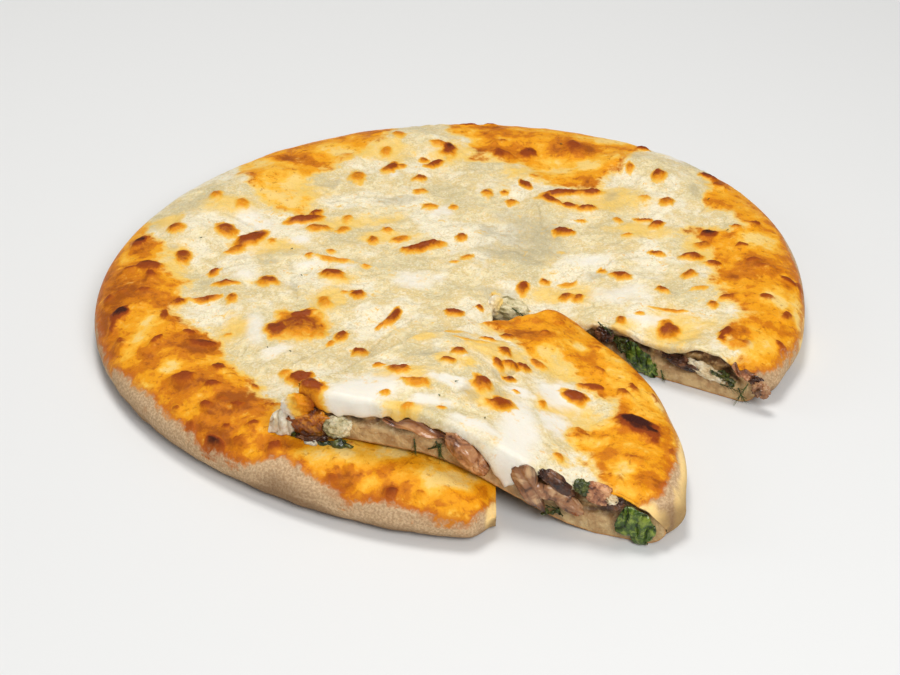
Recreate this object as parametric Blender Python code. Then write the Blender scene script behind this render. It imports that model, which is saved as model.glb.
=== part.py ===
"""A round filled cheese bread with one slice cut out, turned and laid back over the cut.

The whole bread is modelled first, as a dough envelope, the filling inside it and the cheese on top. One wedge cuts all
three: what lies outside it stays as the bread, and what lies inside becomes the slice. The pieces of mushroom, leaf and
curd that show at the cuts are solids of their own. The origin is the centre of the bread's flat underside.
"""

import math

import bmesh
import bpy
from mathutils import Matrix, Vector, noise

MM = 0.001

# The whole bread, seen from above: a circle with a few slow waves (lobes, cosine part, sine part).
RADIUS = 150 * MM
OUTLINE_WAVES = ((2, -2.4 * MM, 0.2 * MM), (3, -3.3 * MM, 2.2 * MM), (4, -0.2 * MM, 1.6 * MM))

# The rim draws back a little beside the cut: (degrees round the bread, degrees it spreads, how far).
RIM_DENTS = ((-28, 15, 5 * MM), (-36, 7, -3 * MM), (-42, 12, -1.5 * MM), (-64, 11, 2.2 * MM), (-77, 13, 3.5 * MM))

# Its section: a flat foot, a side that bulges low down, a raised rim and a lower middle.
FOOT = 8 * MM
EQUATOR = 8 * MM
RIM_WIDTH = 30 * MM
RIM_CREST = 20 * MM
RIM_POWER = 2.2
MIDDLE = 16 * MM
RIM_FALL = 30 * MM
LUMP_HEIGHT = 0.8 * MM
LUMP_SIZE = 26 * MM

# The cheese on top stops short of the rim: (degrees round the bread, how far it stays inside the rim).
CHEESE_EDGE = (
    (0, 28 * MM),
    (20, 34 * MM),
    (48, 11 * MM),
    (68, 40 * MM),
    (84, 28 * MM),
    (100, 10 * MM),
    (120, 28 * MM),
    (142, 11 * MM),
    (160, 16 * MM),
    (178, 40 * MM),
    (203, 42 * MM),
    (228, 36 * MM),
    (262, 32 * MM),
    (285, 34 * MM),
    (305, 36 * MM),
    (328, 44 * MM),
    (344, 34 * MM),
)
CHEESE_THICKNESS = 2.8 * MM
CHEESE_EDGE_THICKNESS = 0.7 * MM
CHEESE_TAPER = 22 * MM
CHEESE_LUMPS = 0.9 * MM
CHEESE_LUMP_SIZE = 15 * MM

# The filling layer inside the dough.
FILLING_LOW = 4 * MM
TOP_DOUGH = 2.8 * MM
FILLING_INSET = 9 * MM
FILLING_SET_BACK = 4 * MM

GAP = 0.4 * MM

# The cut: two straight sides that meet a little off the bread's centre.
CUT_TIP = Vector((12 * MM, -11 * MM, 0))
CUT_LEFT = math.radians(-89.8)
CUT_RIGHT = math.radians(-28.6)
CUT_REACH = 0.25
CHEESE_OVERHANG = 1.6 * MM

# Where the slice lies: its tip, how far it is turned, and how it sags from the bread's top down to the table.
SLICE_TIP = Vector((-57.5 * MM, -112.6 * MM, 0))
SLICE_TURN = math.radians(72.0)
SAG_TOP = 21 * MM
SAG_START = -18 * MM
SAG_LENGTH = 70 * MM
SAG_FRONT = -135 * MM
SAG_DELAY = 0.07
SAG_SOFTNESS = 1.2 * MM

# The slice's back edge is squashed, and stands up at its outer corner: millimetres along it from the tip, and
# millimetres lower there.
BACK_SQUASH = (
    (0, 0), (25, 2.5), (40, 3.5), (60, 4), (75, 6.5), (95, 8.5), (105, 8.5), (114, 2.8), (125, -5), (134, -7),
)
SQUASH_WIDTH = 24 * MM
SQUASH_HEIGHT = 19 * MM

# Its crust stands a little higher there: from how far out, over what width, by what share, from what direction (degrees).
CRUST_RISE = 0.1
RISE_START = 118 * MM
RISE_WIDTH = 18 * MM
RISE_DEGREES = (8, 20)
PRESS_FADE = 60 * MM
PRESS_BACK_FADE = 25 * MM

# How far the slice's cheese hangs over its front cut: (millimetres from the tip, millimetres down).
LIP = ((2, 3), (8, 5), (20, 4), (30, 5), (42, 3.5), (56, 4), (66, 6), (72, 11), (78, 17), (83, 12), (88, 5), (104, 3))
LIP_STEP = 4
LIP_THICKNESS = 2.4 * MM

# What shows at the cuts: name, food, form, which cut, distance from the cut's tip, height, distance out of the
# cut, then length, thickness and tallness, and how far it is turned in the cut's plane, all in mm and degrees.
PIECES = (
    ("slice_mushroom_tip", "mushroom", "lump", "slice", 3, 8.6, 4.6, 11, 8, 9, 0),
    ("slice_curd_left", "curd", "lump", "slice", -6, 3.4, 2, 7, 5, 5, 0),
    ("slice_curd_right", "curd", "lump", "slice", 12.5, 2.2, 3.4, 6, 4, 4, 0),
    ("slice_leaf_tip", "leaf", "sheet", "slice", 15.5, 7, 5.4, 14, 1.2, 7, 12),
    ("slice_mushroom_thin", "mushroom", "sheet", "slice", 41, 9.6, 0.2, 23, 1.4, 6, -4),
    ("slice_mushroom_pink", "mushroom", "lump", "slice", 62, 7.2, 3.6, 15, 6, 11, -20),
    ("slice_mushroom_gills", "mushroom", "lump", "slice", 89.4, 6.2, 3.4, 7.4, 5.6, 11.4, 0),
    ("slice_mushroom_cap", "mushroom", "lump", "slice", 98, 11.6, 3.2, 10, 5, 5, 0),
    ("slice_mushroom_stem", "mushroom", "lump", "slice", 99, 5, 3.2, 10, 5, 6.4, 10),
    ("slice_onion", "onion", "lump", "slice", 109.5, 10.2, 2.6, 8.5, 4, 6, 0),
    ("slice_mushroom_end", "mushroom", "lump", "slice", 117, 9, 2.4, 5.6, 3.6, 5, 0),
    ("slice_leaf_end", "leaf", "sheet", "slice", 126, 7.2, 2.6, 15, 1.4, 11, -30),
    ("bread_curd_tip", "curd", "lump", "bread", 5.5, 8.6, 3.6, 13, 6, 8.4, 0),
    ("bread_mushroom_dark", "mushroom", "lump", "bread", 49.6, 10.4, 1.4, 7.6, 4, 7, 0),
    ("bread_leaf_bright", "leaf", "sheet", "bread", 66, 6.8, 2.4, 17, 1.4, 11, -12),
    ("bread_mushroom_flat", "mushroom", "lump", "bread", 85, 8.4, 0.2, 15, 6.4, 6.6, 0),
    ("bread_leaf_dark", "leaf", "sheet", "bread", 101.5, 7.8, 0.6, 8, 1.4, 6, 10),
    ("bread_onion_curl", "onion", "sheet", "bread", 111.5, 9.6, 2.6, 8, 1.6, 6, 25),
    ("bread_mushroom_end", "mushroom", "lump", "bread", 119.5, 6.4, 2.4, 6, 3.6, 6, 0),
)

ROUND_STEPS = 72
FILLING_STEPS = 48
BREAD_FLOOR = (0.5,)
BREAD_ROOF = (0.95, 0.83, 0.6, 0.3)
SLICE_FLOOR = (0.3, 0.45, 0.58, 0.7, 0.82, 0.92)
SLICE_ROOF = (0.95, 0.86, 0.75, 0.64, 0.52, 0.4, 0.25)

COLOURS = {
    "crust": ((0.72, 0.38, 0.10), 0.6),
    "cheese": ((0.84, 0.76, 0.55), 0.4),
    "filling": ((0.62, 0.55, 0.40), 0.5),
    "mushroom": ((0.36, 0.22, 0.14), 0.45),
    "leaf": ((0.06, 0.17, 0.03), 0.4),
    "curd": ((0.86, 0.82, 0.70), 0.5),
    "onion": ((0.66, 0.52, 0.38), 0.4),
}


# Small tools


def smooth(share):
    """0 below 0, 1 above 1, and an easy curve between."""
    share = min(max(share, 0.0), 1.0)
    return share * share * (3 - 2 * share)


def soft_min(a, b, width):
    """The lower of a and b, with the corner between them rounded over width."""
    blend = min(max(0.5 + 0.5 * (b - a) / width, 0.0), 1.0)
    return b + (a - b) * blend - width * blend * (1 - blend)


def clear_scene():
    for old in list(bpy.data.objects):
        bpy.data.objects.remove(old)


def material(kind):
    """One Principled material for each kind of food."""
    found = bpy.data.materials.get(kind)
    if found:
        return found
    colour, roughness = COLOURS[kind]
    made = bpy.data.materials.new(kind)
    made.use_nodes = True
    shader = made.node_tree.nodes["Principled BSDF"]
    shader.inputs["Base Color"].default_value = (*colour, 1)
    shader.inputs["Roughness"].default_value = roughness
    shader.inputs["Metallic"].default_value = 0
    return made


def solid_object(name, bm, kind):
    """An object from a closed bmesh, with its faces turned outwards."""
    bm.normal_update()
    bmesh.ops.recalc_face_normals(bm, faces=bm.faces)
    mesh = bpy.data.meshes.new(name)
    bm.to_mesh(mesh)
    bm.free()
    made = bpy.data.objects.new(name, mesh)
    made.data.materials.append(material(kind))
    bpy.context.scene.collection.objects.link(made)
    return made


def skin_rings(name, rings, kind):
    """A closed solid over rings of points. The first and last rings are one point each.

    Each quad is split from its outer ring at i+1 to its inner ring at i, so that skins which face each other match.
    """
    bm = bmesh.new()
    loops = [[bm.verts.new(point) for point in ring] for ring in rings]
    for lower, upper in zip(loops, loops[1:]):
        count = max(len(lower), len(upper))
        outwards = upper[0].co.xy.length > lower[0].co.xy.length
        for i in range(count):
            j = (i + 1) % count
            if len(lower) == 1:
                bm.faces.new((lower[0], upper[i], upper[j]))
            elif len(upper) == 1:
                bm.faces.new((lower[i], lower[j], upper[0]))
            elif outwards:
                bm.faces.new((lower[i], lower[j], upper[i]))
                bm.faces.new((lower[j], upper[j], upper[i]))
            else:
                bm.faces.new((lower[i], lower[j], upper[j]))
                bm.faces.new((lower[i], upper[j], upper[i]))
    return solid_object(name, bm, kind)


def combine(target, other, operation):
    """Applies one Boolean to target."""
    cut = target.modifiers.new(operation, "BOOLEAN")
    cut.operation = operation
    cut.object = other
    cut.solver = "EXACT"
    graph = bpy.context.evaluated_depsgraph_get()
    result = bpy.data.meshes.new_from_object(target.evaluated_get(graph))
    target.modifiers.clear()
    target.data = result
    return target


def copy_of(source, name):
    made = source.copy()
    made.data = source.data.copy()
    made.name = name
    bpy.context.scene.collection.objects.link(made)
    return made


def remove(*objects):
    for obj in objects:
        bpy.data.objects.remove(obj)


# The bread's form


def rim_radius(angle):
    waves = (c * math.cos(k * angle) + s * math.sin(k * angle) for k, c, s in OUTLINE_WAVES)
    dents = 0.0
    for place, spread, depth in RIM_DENTS:
        away = (math.degrees(angle) - place + 180) % 360 - 180
        dents += depth * smooth(1 - abs(away) / spread)
    return RADIUS + sum(waves) - dents


def cheese_inset(angle):
    """How far inside the rim the cheese stops, eased between the named places."""
    degrees = math.degrees(angle) % 360
    places = (*CHEESE_EDGE, (CHEESE_EDGE[0][0] + 360, CHEESE_EDGE[0][1]))
    for (start, low), (end, high) in zip(places, places[1:]):
        if start <= degrees <= end:
            return low + (high - low) * smooth((degrees - start) / (end - start))
    return places[0][1]


def dough_height(x, y):
    """Height of the dough's upper surface over one point of the underside."""
    angle = math.atan2(y, x)
    inside = max(rim_radius(angle) - math.hypot(x, y), 0.0)
    across = min(inside / RIM_WIDTH, 1.0)
    shoulder = (1 - (1 - across) ** RIM_POWER) ** (1 / RIM_POWER)
    height = EQUATOR + (RIM_CREST - EQUATOR) * shoulder
    height -= (RIM_CREST - MIDDLE) * smooth((inside - RIM_WIDTH * 0.7) / RIM_FALL)
    lumps = noise.noise(Vector((x, y, 0)) / LUMP_SIZE)
    return height + LUMP_HEIGHT * lumps * across


def cheese_depth(x, y):
    """Thickness of the cheese over one point, 0 outside its edge."""
    angle = math.atan2(y, x)
    inside = rim_radius(angle) - cheese_inset(angle) - math.hypot(x, y)
    if inside < 0:
        return 0.0
    grown = smooth(inside / CHEESE_TAPER)
    lumps = noise.noise(Vector((x, y, 0.3)) / CHEESE_LUMP_SIZE)
    return CHEESE_EDGE_THICKNESS + (CHEESE_THICKNESS - CHEESE_EDGE_THICKNESS + CHEESE_LUMPS * lumps) * grown


def ring_at(distance, height, steps=ROUND_STEPS):
    """One ring round the bread. distance and height are functions of the angle."""
    points = []
    for i in range(steps):
        angle = 2 * math.pi * i / steps
        reach = distance(angle)
        x, y = reach * math.cos(angle), reach * math.sin(angle)
        points.append(Vector((x, y, height(x, y))))
    return points


def cheese_rings(height):
    """Rings from the cheese's edge to the centre, on one surface."""
    shares = (1.0, 0.93, 0.84, 0.73, 0.6, 0.46, 0.32, 0.17)
    rings = [
        ring_at(lambda a, s=share: (rim_radius(a) - cheese_inset(a)) * s, height)
        for share in shares
    ]
    return [*rings, [Vector((0, 0, height(0, 0)))]]


def whole_dough(floor_shares):
    """The dough as one shut envelope, before its pocket is cut."""
    foot_steps = 3
    rings = [[Vector((0, 0, 0))]]
    for share in floor_shares:
        rings.append(ring_at(lambda a, s=share: (rim_radius(a) - FOOT) * s, lambda x, y: 0.0))
    for i in range(foot_steps + 1):
        turn = i / (foot_steps + 1) * math.pi / 2
        drawn_in = FOOT * (1 - math.sin(turn))
        height = EQUATOR * (1 - math.cos(turn))
        rings.append(ring_at(lambda a, d=drawn_in: rim_radius(a) - d, lambda x, y, h=height: h))
    for share in (0.0, 0.025, 0.09, 0.2, 0.36, 0.56, 0.78):
        rings.append(ring_at(lambda a, s=share: rim_radius(a) - cheese_inset(a) * s, dough_height))
    rings += cheese_rings(dough_height)
    return skin_rings("dough", rings, "crust")


def whole_cheese():
    """The cheese as one shut slab that follows the dough below it."""
    under = cheese_rings(lambda x, y: dough_height(x, y) + GAP)
    over = cheese_rings(lambda x, y: dough_height(x, y) + GAP + cheese_depth(x, y))
    return skin_rings("cheese", [*reversed(under), *over], "cheese")


def whole_filling(name, grow, floor_shares, roof_shares):
    """The filling layer, or with grow its pocket in the dough."""

    def inset(angle):
        return rim_radius(angle) - FILLING_INSET + grow

    def roof(x, y):
        return dough_height(x, y) - TOP_DOUGH + grow

    floor = FILLING_LOW - grow
    bulge = FILLING_LOW + 3 * MM
    rings = [[Vector((0, 0, floor))]]
    for share in (*floor_shares, 0.97):
        rings.append(ring_at(lambda a, s=share: inset(a) * s, lambda x, y: floor, FILLING_STEPS))
    rings.append(ring_at(inset, lambda x, y: bulge, FILLING_STEPS))
    for share in roof_shares:
        rings.append(ring_at(lambda a, s=share: inset(a) * s, roof, FILLING_STEPS))
    rings.append([Vector((0, 0, roof(0, 0)))])
    return skin_rings(name, rings, "filling")


def wedge(name, grow=0.0):
    """The cut as a prism, its sides moved out by grow."""
    half = (CUT_RIGHT - CUT_LEFT) / 2
    middle = (CUT_RIGHT + CUT_LEFT) / 2
    tip = CUT_TIP - Vector((math.cos(middle), math.sin(middle), 0)) * grow / math.sin(half)
    corners = [tip]
    for angle in (CUT_LEFT, middle, CUT_RIGHT):
        corners.append(tip + Vector((math.cos(angle), math.sin(angle), 0)) * CUT_REACH)
    bm = bmesh.new()
    base = bm.faces.new([bm.verts.new(corner - Vector((0, 0, 0.02))) for corner in corners])
    raised = bmesh.ops.extrude_face_region(bm, geom=[base])["geom"]
    upper = [part for part in raised if isinstance(part, bmesh.types.BMVert)]
    bmesh.ops.translate(bm, verts=upper, vec=(0, 0, 0.09))
    return solid_object(name, bm, "crust")


# Where things end up


def sag(x, y):
    """Height of the slice's underside over the table: on the bread at the left, on the table at the right."""
    start = SAG_START + (y - SAG_FRONT) * SAG_DELAY
    return SAG_TOP * (1 - smooth((x - start) / SAG_LENGTH))


def press(point):
    """Squashes the bread where the slice weighs on it, left of the cut."""
    x, y, z = point
    wall = CUT_TIP.x + (y - CUT_TIP.y) / math.tan(CUT_LEFT) + 2 * MM
    top = dough_height(x, y) + cheese_depth(x, y) + GAP
    allowed = sag(min(x, wall), y) - 3 * GAP
    share = min(soft_min(top, allowed, SAG_SOFTNESS) / top, 1.0)
    share += (1 - share) * smooth((x - wall) / PRESS_FADE)
    back = SLICE_TURN + CUT_RIGHT
    behind = (y - SLICE_TIP.y) * math.cos(back) - (x - SLICE_TIP.x) * math.sin(back)
    share += (1 - share) * smooth(behind / PRESS_BACK_FADE - 0.2)
    return Vector((x, y, z * share))


def turn_flat(point):
    """Turns a point of the cut wedge to where the slice lies, without any sag."""
    turned = Matrix.Rotation(SLICE_TURN, 3, "Z") @ (Vector(point) - CUT_TIP) + SLICE_TIP
    turned.z = point[2]
    return turned


def back_share(x, y):
    """The slice's height at a place as a share of the bread's, less than 1 near its squashed back edge."""
    back = SLICE_TURN + CUT_RIGHT
    along = (x - SLICE_TIP.x) * math.cos(back) + (y - SLICE_TIP.y) * math.sin(back)
    beside = abs((y - SLICE_TIP.y) * math.cos(back) - (x - SLICE_TIP.x) * math.sin(back))
    lower = 0.0
    for (start, first), (end, last) in zip(BACK_SQUASH, BACK_SQUASH[1:]):
        if start * MM <= along <= end * MM:
            lower = (first + (last - first) * smooth((along / MM - start) / (end - start))) * MM
    if along > BACK_SQUASH[-1][0] * MM:
        lower = BACK_SQUASH[-1][1] * MM
    share = 1 - lower / SQUASH_HEIGHT * smooth(1 - beside / SQUASH_WIDTH)
    reach = math.hypot(x - SLICE_TIP.x, y - SLICE_TIP.y)
    turn = math.degrees(math.atan2(y - SLICE_TIP.y, x - SLICE_TIP.x))
    low, high = RISE_DEGREES
    return share * (1 + CRUST_RISE * smooth((reach - RISE_START) / RISE_WIDTH) * smooth((turn - low) / (high - low)))


def lay_slice(point):
    """Turns a point of the cut wedge to where the slice lies, squashes its back edge and lets it sag."""
    turned = turn_flat(point)
    turned.z = turned.z * back_share(turned.x, turned.y) + sag(turned.x, turned.y)
    return turned


def move_points(obj, rule):
    for vertex in obj.data.vertices:
        vertex.co = rule(vertex.co)
    obj.data.update()


def shaped_cut(source, name, shape, cutter, operation, cutter_rule=None):
    """A copy of source, bent to its shape and then cut with upright sides."""
    part = copy_of(source, name)
    move_points(part, shape)
    knife = wedge("knife", cutter)
    if cutter_rule:
        move_points(knife, cutter_rule)
    combine(part, knife, operation)
    remove(knife)
    return part


def build_bread(dough_name="bread_crust"):
    dough = whole_dough(BREAD_FLOOR)
    pocket = whole_filling("pocket", GAP, BREAD_FLOOR, BREAD_ROOF)
    combine(dough, pocket, "DIFFERENCE")
    filling = whole_filling("filling", 0.0, BREAD_FLOOR, BREAD_ROOF)
    cheese = whole_cheese()
    shaped_cut(dough, dough_name, press, 0.0, "DIFFERENCE")
    shaped_cut(filling, "bread_filling", press, FILLING_SET_BACK, "DIFFERENCE")
    shaped_cut(cheese, "bread_cheese", press, -CHEESE_OVERHANG, "DIFFERENCE")
    remove(dough, filling, cheese, pocket)


def build_slice():
    dough = whole_dough(SLICE_FLOOR)
    pocket = whole_filling("pocket", GAP, SLICE_FLOOR, SLICE_ROOF)
    combine(dough, pocket, "DIFFERENCE")
    filling = whole_filling("filling", 0.0, SLICE_FLOOR, SLICE_ROOF)
    cheese = whole_cheese()
    shaped_cut(dough, "slice_crust", lay_slice, 0.0, "INTERSECT", turn_flat)
    shaped_cut(filling, "slice_filling", lay_slice, -FILLING_SET_BACK, "INTERSECT", turn_flat)
    slab = shaped_cut(cheese, "slice_cheese", lay_slice, CHEESE_OVERHANG, "INTERSECT", turn_flat)
    lip = cheese_lip()
    combine(slab, lip, "UNION")
    remove(dough, filling, cheese, pocket, lip)


# What shows at the cuts


def at_cut(which, along, height, out):
    """A point given from the tip of a cut: along it, up from the food's underside and out of its face."""
    if which == "slice":
        direction, start = CUT_LEFT + SLICE_TURN, SLICE_TIP
        outwards = direction - math.pi / 2
    else:
        direction, start = CUT_RIGHT, CUT_TIP
        outwards = direction - math.pi / 2
    x = start.x + along * math.cos(direction) + out * math.cos(outwards)
    y = start.y + along * math.sin(direction) + out * math.sin(outwards)
    lift = sag(x, y) if which == "slice" else 0.0
    return Vector((x, y, height + lift))


def lip_drop(along):
    for (start, low), (end, high) in zip(LIP, LIP[1:]):
        if start <= along <= end:
            return low + (high - low) * smooth((along - start) / (end - start))
    return LIP[-1][1]


def cheese_lip():
    """The cheese that ran over the slice's front edge, thickest at its one long drip."""
    section = ((0.2, 0.0), (0.75, 0.0), (1.0, 0.3), (0.9, 0.8), (0.55, 1.0), (0.2, 0.9))
    first, last = LIP[0][0], LIP[-1][0]
    rings = []
    for along in range(first, last + 1, LIP_STEP):
        spot = at_cut("slice", along * MM, 0.0, 0.0)
        source = Matrix.Rotation(-SLICE_TURN, 3, "Z") @ (Vector((spot.x, spot.y, 0)) - SLICE_TIP) + CUT_TIP
        top = dough_height(source.x, source.y) + GAP + CHEESE_EDGE_THICKNESS
        drop = lip_drop(along) * MM
        ring = [at_cut("slice", along * MM, top - drop * d, LIP_THICKNESS * o) for o, d in section]
        rings.append(ring)
    ends = [[sum(ring, Vector()) / len(ring)] for ring in (rings[0], rings[-1])]
    return skin_rings("lip", [ends[0], *rings, ends[1]], "cheese")


def lump(size, seed):
    """A rounded chunk with dents, as points round the origin and its facets."""
    bm = bmesh.new()
    bmesh.ops.create_icosphere(bm, subdivisions=3 if max(size) > 9.5 else 2, radius=0.5)
    for vertex in bm.verts:
        dent = 0.5 + 0.5 * noise.noise(vertex.co * 4.2 + Vector((seed, 0, 0)))
        vertex.co *= 1 - 0.3 * dent
        vertex.co = Vector((vertex.co.x * size[0], vertex.co.y * size[1], vertex.co.z * size[2]))
    return bm


def sheet(size, seed):
    """A thin wavy piece with a ragged edge, as points round the origin and its facets."""
    steps_long, steps_tall = 8, 4
    bm = bmesh.new()
    faces = {}
    for side in (-1, 1):
        for i in range(steps_long + 1):
            for j in range(steps_tall + 1):
                u, v = i / steps_long * 2 - 1, j / steps_tall * 2 - 1
                narrow = math.sqrt(1.02 - u * u) * (0.84 + 0.16 * math.sin(6 * u + seed))
                wave = 0.8 * MM * math.sin(u * 5 + seed) + 0.5 * MM * math.sin(v * 3 + u * 2 + seed)
                x, z = u * size[0] / 2, v * size[2] / 2 * narrow
                faces[side, i, j] = bm.verts.new((x, wave + side * size[1] / 2, z))
    for side in (-1, 1):
        for i in range(steps_long):
            for j in range(steps_tall):
                corners = ((i, j), (i + 1, j), (i + 1, j + 1), (i, j + 1))
                quad = [faces[side, a, b] for a, b in corners]
                bm.faces.new(quad if side < 0 else quad[::-1])
    loop = [(i, 0) for i in range(steps_long)] + [(steps_long, j) for j in range(steps_tall)]
    loop += [(i, steps_tall) for i in range(steps_long, 0, -1)] + [(0, j) for j in range(steps_tall, 0, -1)]
    for (a, b), (c, d) in zip(loop, loop[1:] + loop[:1]):
        bm.faces.new((faces[-1, a, b], faces[1, a, b], faces[1, c, d], faces[-1, c, d]))
    return bm


def build_pieces():
    for number, row in enumerate(PIECES):
        name, food, form, which, along, height, out, length, thickness, tall, turn = row
        size = (length * MM, thickness * MM, tall * MM)
        bm = lump(size, number) if form == "lump" else sheet(size, number)
        turned = Matrix.Rotation(math.radians(turn), 3, "Y")
        for vertex in bm.verts:
            a, o, h = turned @ vertex.co
            vertex.co = at_cut(which, along * MM + a, height * MM + h, out * MM + o)
        solid_object(name, bm, food)


def main():
    clear_scene()
    build_bread()
    build_slice()
    build_pieces()


main()
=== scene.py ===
import math

import bmesh
import bpy
import numpy as np
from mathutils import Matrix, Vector, noise


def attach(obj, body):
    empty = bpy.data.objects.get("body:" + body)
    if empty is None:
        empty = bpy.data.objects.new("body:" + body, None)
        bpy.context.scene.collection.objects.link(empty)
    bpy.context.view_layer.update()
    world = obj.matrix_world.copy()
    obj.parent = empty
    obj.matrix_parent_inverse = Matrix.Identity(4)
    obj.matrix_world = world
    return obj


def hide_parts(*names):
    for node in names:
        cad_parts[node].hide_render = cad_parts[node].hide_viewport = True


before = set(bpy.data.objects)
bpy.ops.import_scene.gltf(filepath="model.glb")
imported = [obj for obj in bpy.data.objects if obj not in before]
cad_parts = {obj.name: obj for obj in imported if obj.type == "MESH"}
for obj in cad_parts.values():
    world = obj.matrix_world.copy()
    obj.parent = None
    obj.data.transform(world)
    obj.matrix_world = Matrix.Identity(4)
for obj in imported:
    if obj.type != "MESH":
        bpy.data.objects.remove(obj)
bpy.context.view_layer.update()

MM = 0.001

# The photo's camera: how far it is, how steeply it looks down, its focal length in pixels and where it aims.
PHOTO_WIDE, PHOTO_TALL = 900, 675
CAMERA_DISTANCE = 0.8
CAMERA_TILT = math.radians(33)
FOCAL_PIXELS = 1940.4
AIM = np.array((-3.78 * MM, -18.45 * MM, 0.0))

# The bread's form, as the solids have it.
RADIUS = 150 * MM
OUTLINE_WAVES = ((2, -2.4 * MM, 0.2 * MM), (3, -3.3 * MM, 2.2 * MM), (4, -0.2 * MM, 1.6 * MM))
RIM_DENTS = (
    (-28, 15, 5 * MM), (-36, 7, -3 * MM), (-42, 12, -1.5 * MM), (-64, 11, 2.2 * MM), (-77, 13, 3.5 * MM),
)
FOOT = 8 * MM
EQUATOR = 8 * MM
RIM_WIDTH = 30 * MM
RIM_CREST = 20 * MM
RIM_POWER = 2.2
MIDDLE = 16 * MM
RIM_FALL = 30 * MM
LUMP_HEIGHT = 0.8 * MM
LUMP_SIZE = 26 * MM
CHEESE_EDGE = (
    (0, 28), (20, 34), (48, 11), (68, 40), (84, 28), (100, 10), (120, 28), (142, 11), (160, 16), (178, 40),
    (203, 42), (228, 36), (262, 32), (285, 34), (305, 36), (328, 44), (344, 34), (360, 28),
)
CHEESE_THICKNESS = 2.8 * MM
CHEESE_TAPER = 22 * MM
CHEESE_LUMPS = 0.9 * MM
CHEESE_LUMP_SIZE = 15 * MM
GAP = 0.4 * MM
FILLING_LOW = 4 * MM
TOP_DOUGH = 2.8 * MM
FILLING_INSET = 9 * MM

# The cut, and where the slice lies.
CUT_TIP = np.array((12 * MM, -11 * MM))
CUT_LEFT = math.radians(-89.8)
CUT_RIGHT = math.radians(-28.6)
SLICE_TIP = np.array((-57.5 * MM, -112.6 * MM))
SLICE_TURN = math.radians(72.0)
SAG_TOP = 21 * MM
SAG_START = -18 * MM
SAG_LENGTH = 70 * MM
SAG_FRONT = -135 * MM
SAG_DELAY = 0.07
SAG_SOFTNESS = 1.2 * MM
BACK_SQUASH = (
    (0, 0), (25, 2.5), (40, 3.5), (60, 4), (75, 6.5), (95, 8.5), (105, 8.5), (114, 2.8), (125, -5), (134, -7),
)
SQUASH_WIDTH = 24 * MM
SQUASH_HEIGHT = 19 * MM
CRUST_RISE = 0.1
RISE_START = 118 * MM
RISE_WIDTH = 18 * MM
RISE_DEGREES = (8, 20)
PRESS_FADE = 60 * MM
PRESS_BACK_FADE = 25 * MM

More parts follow.
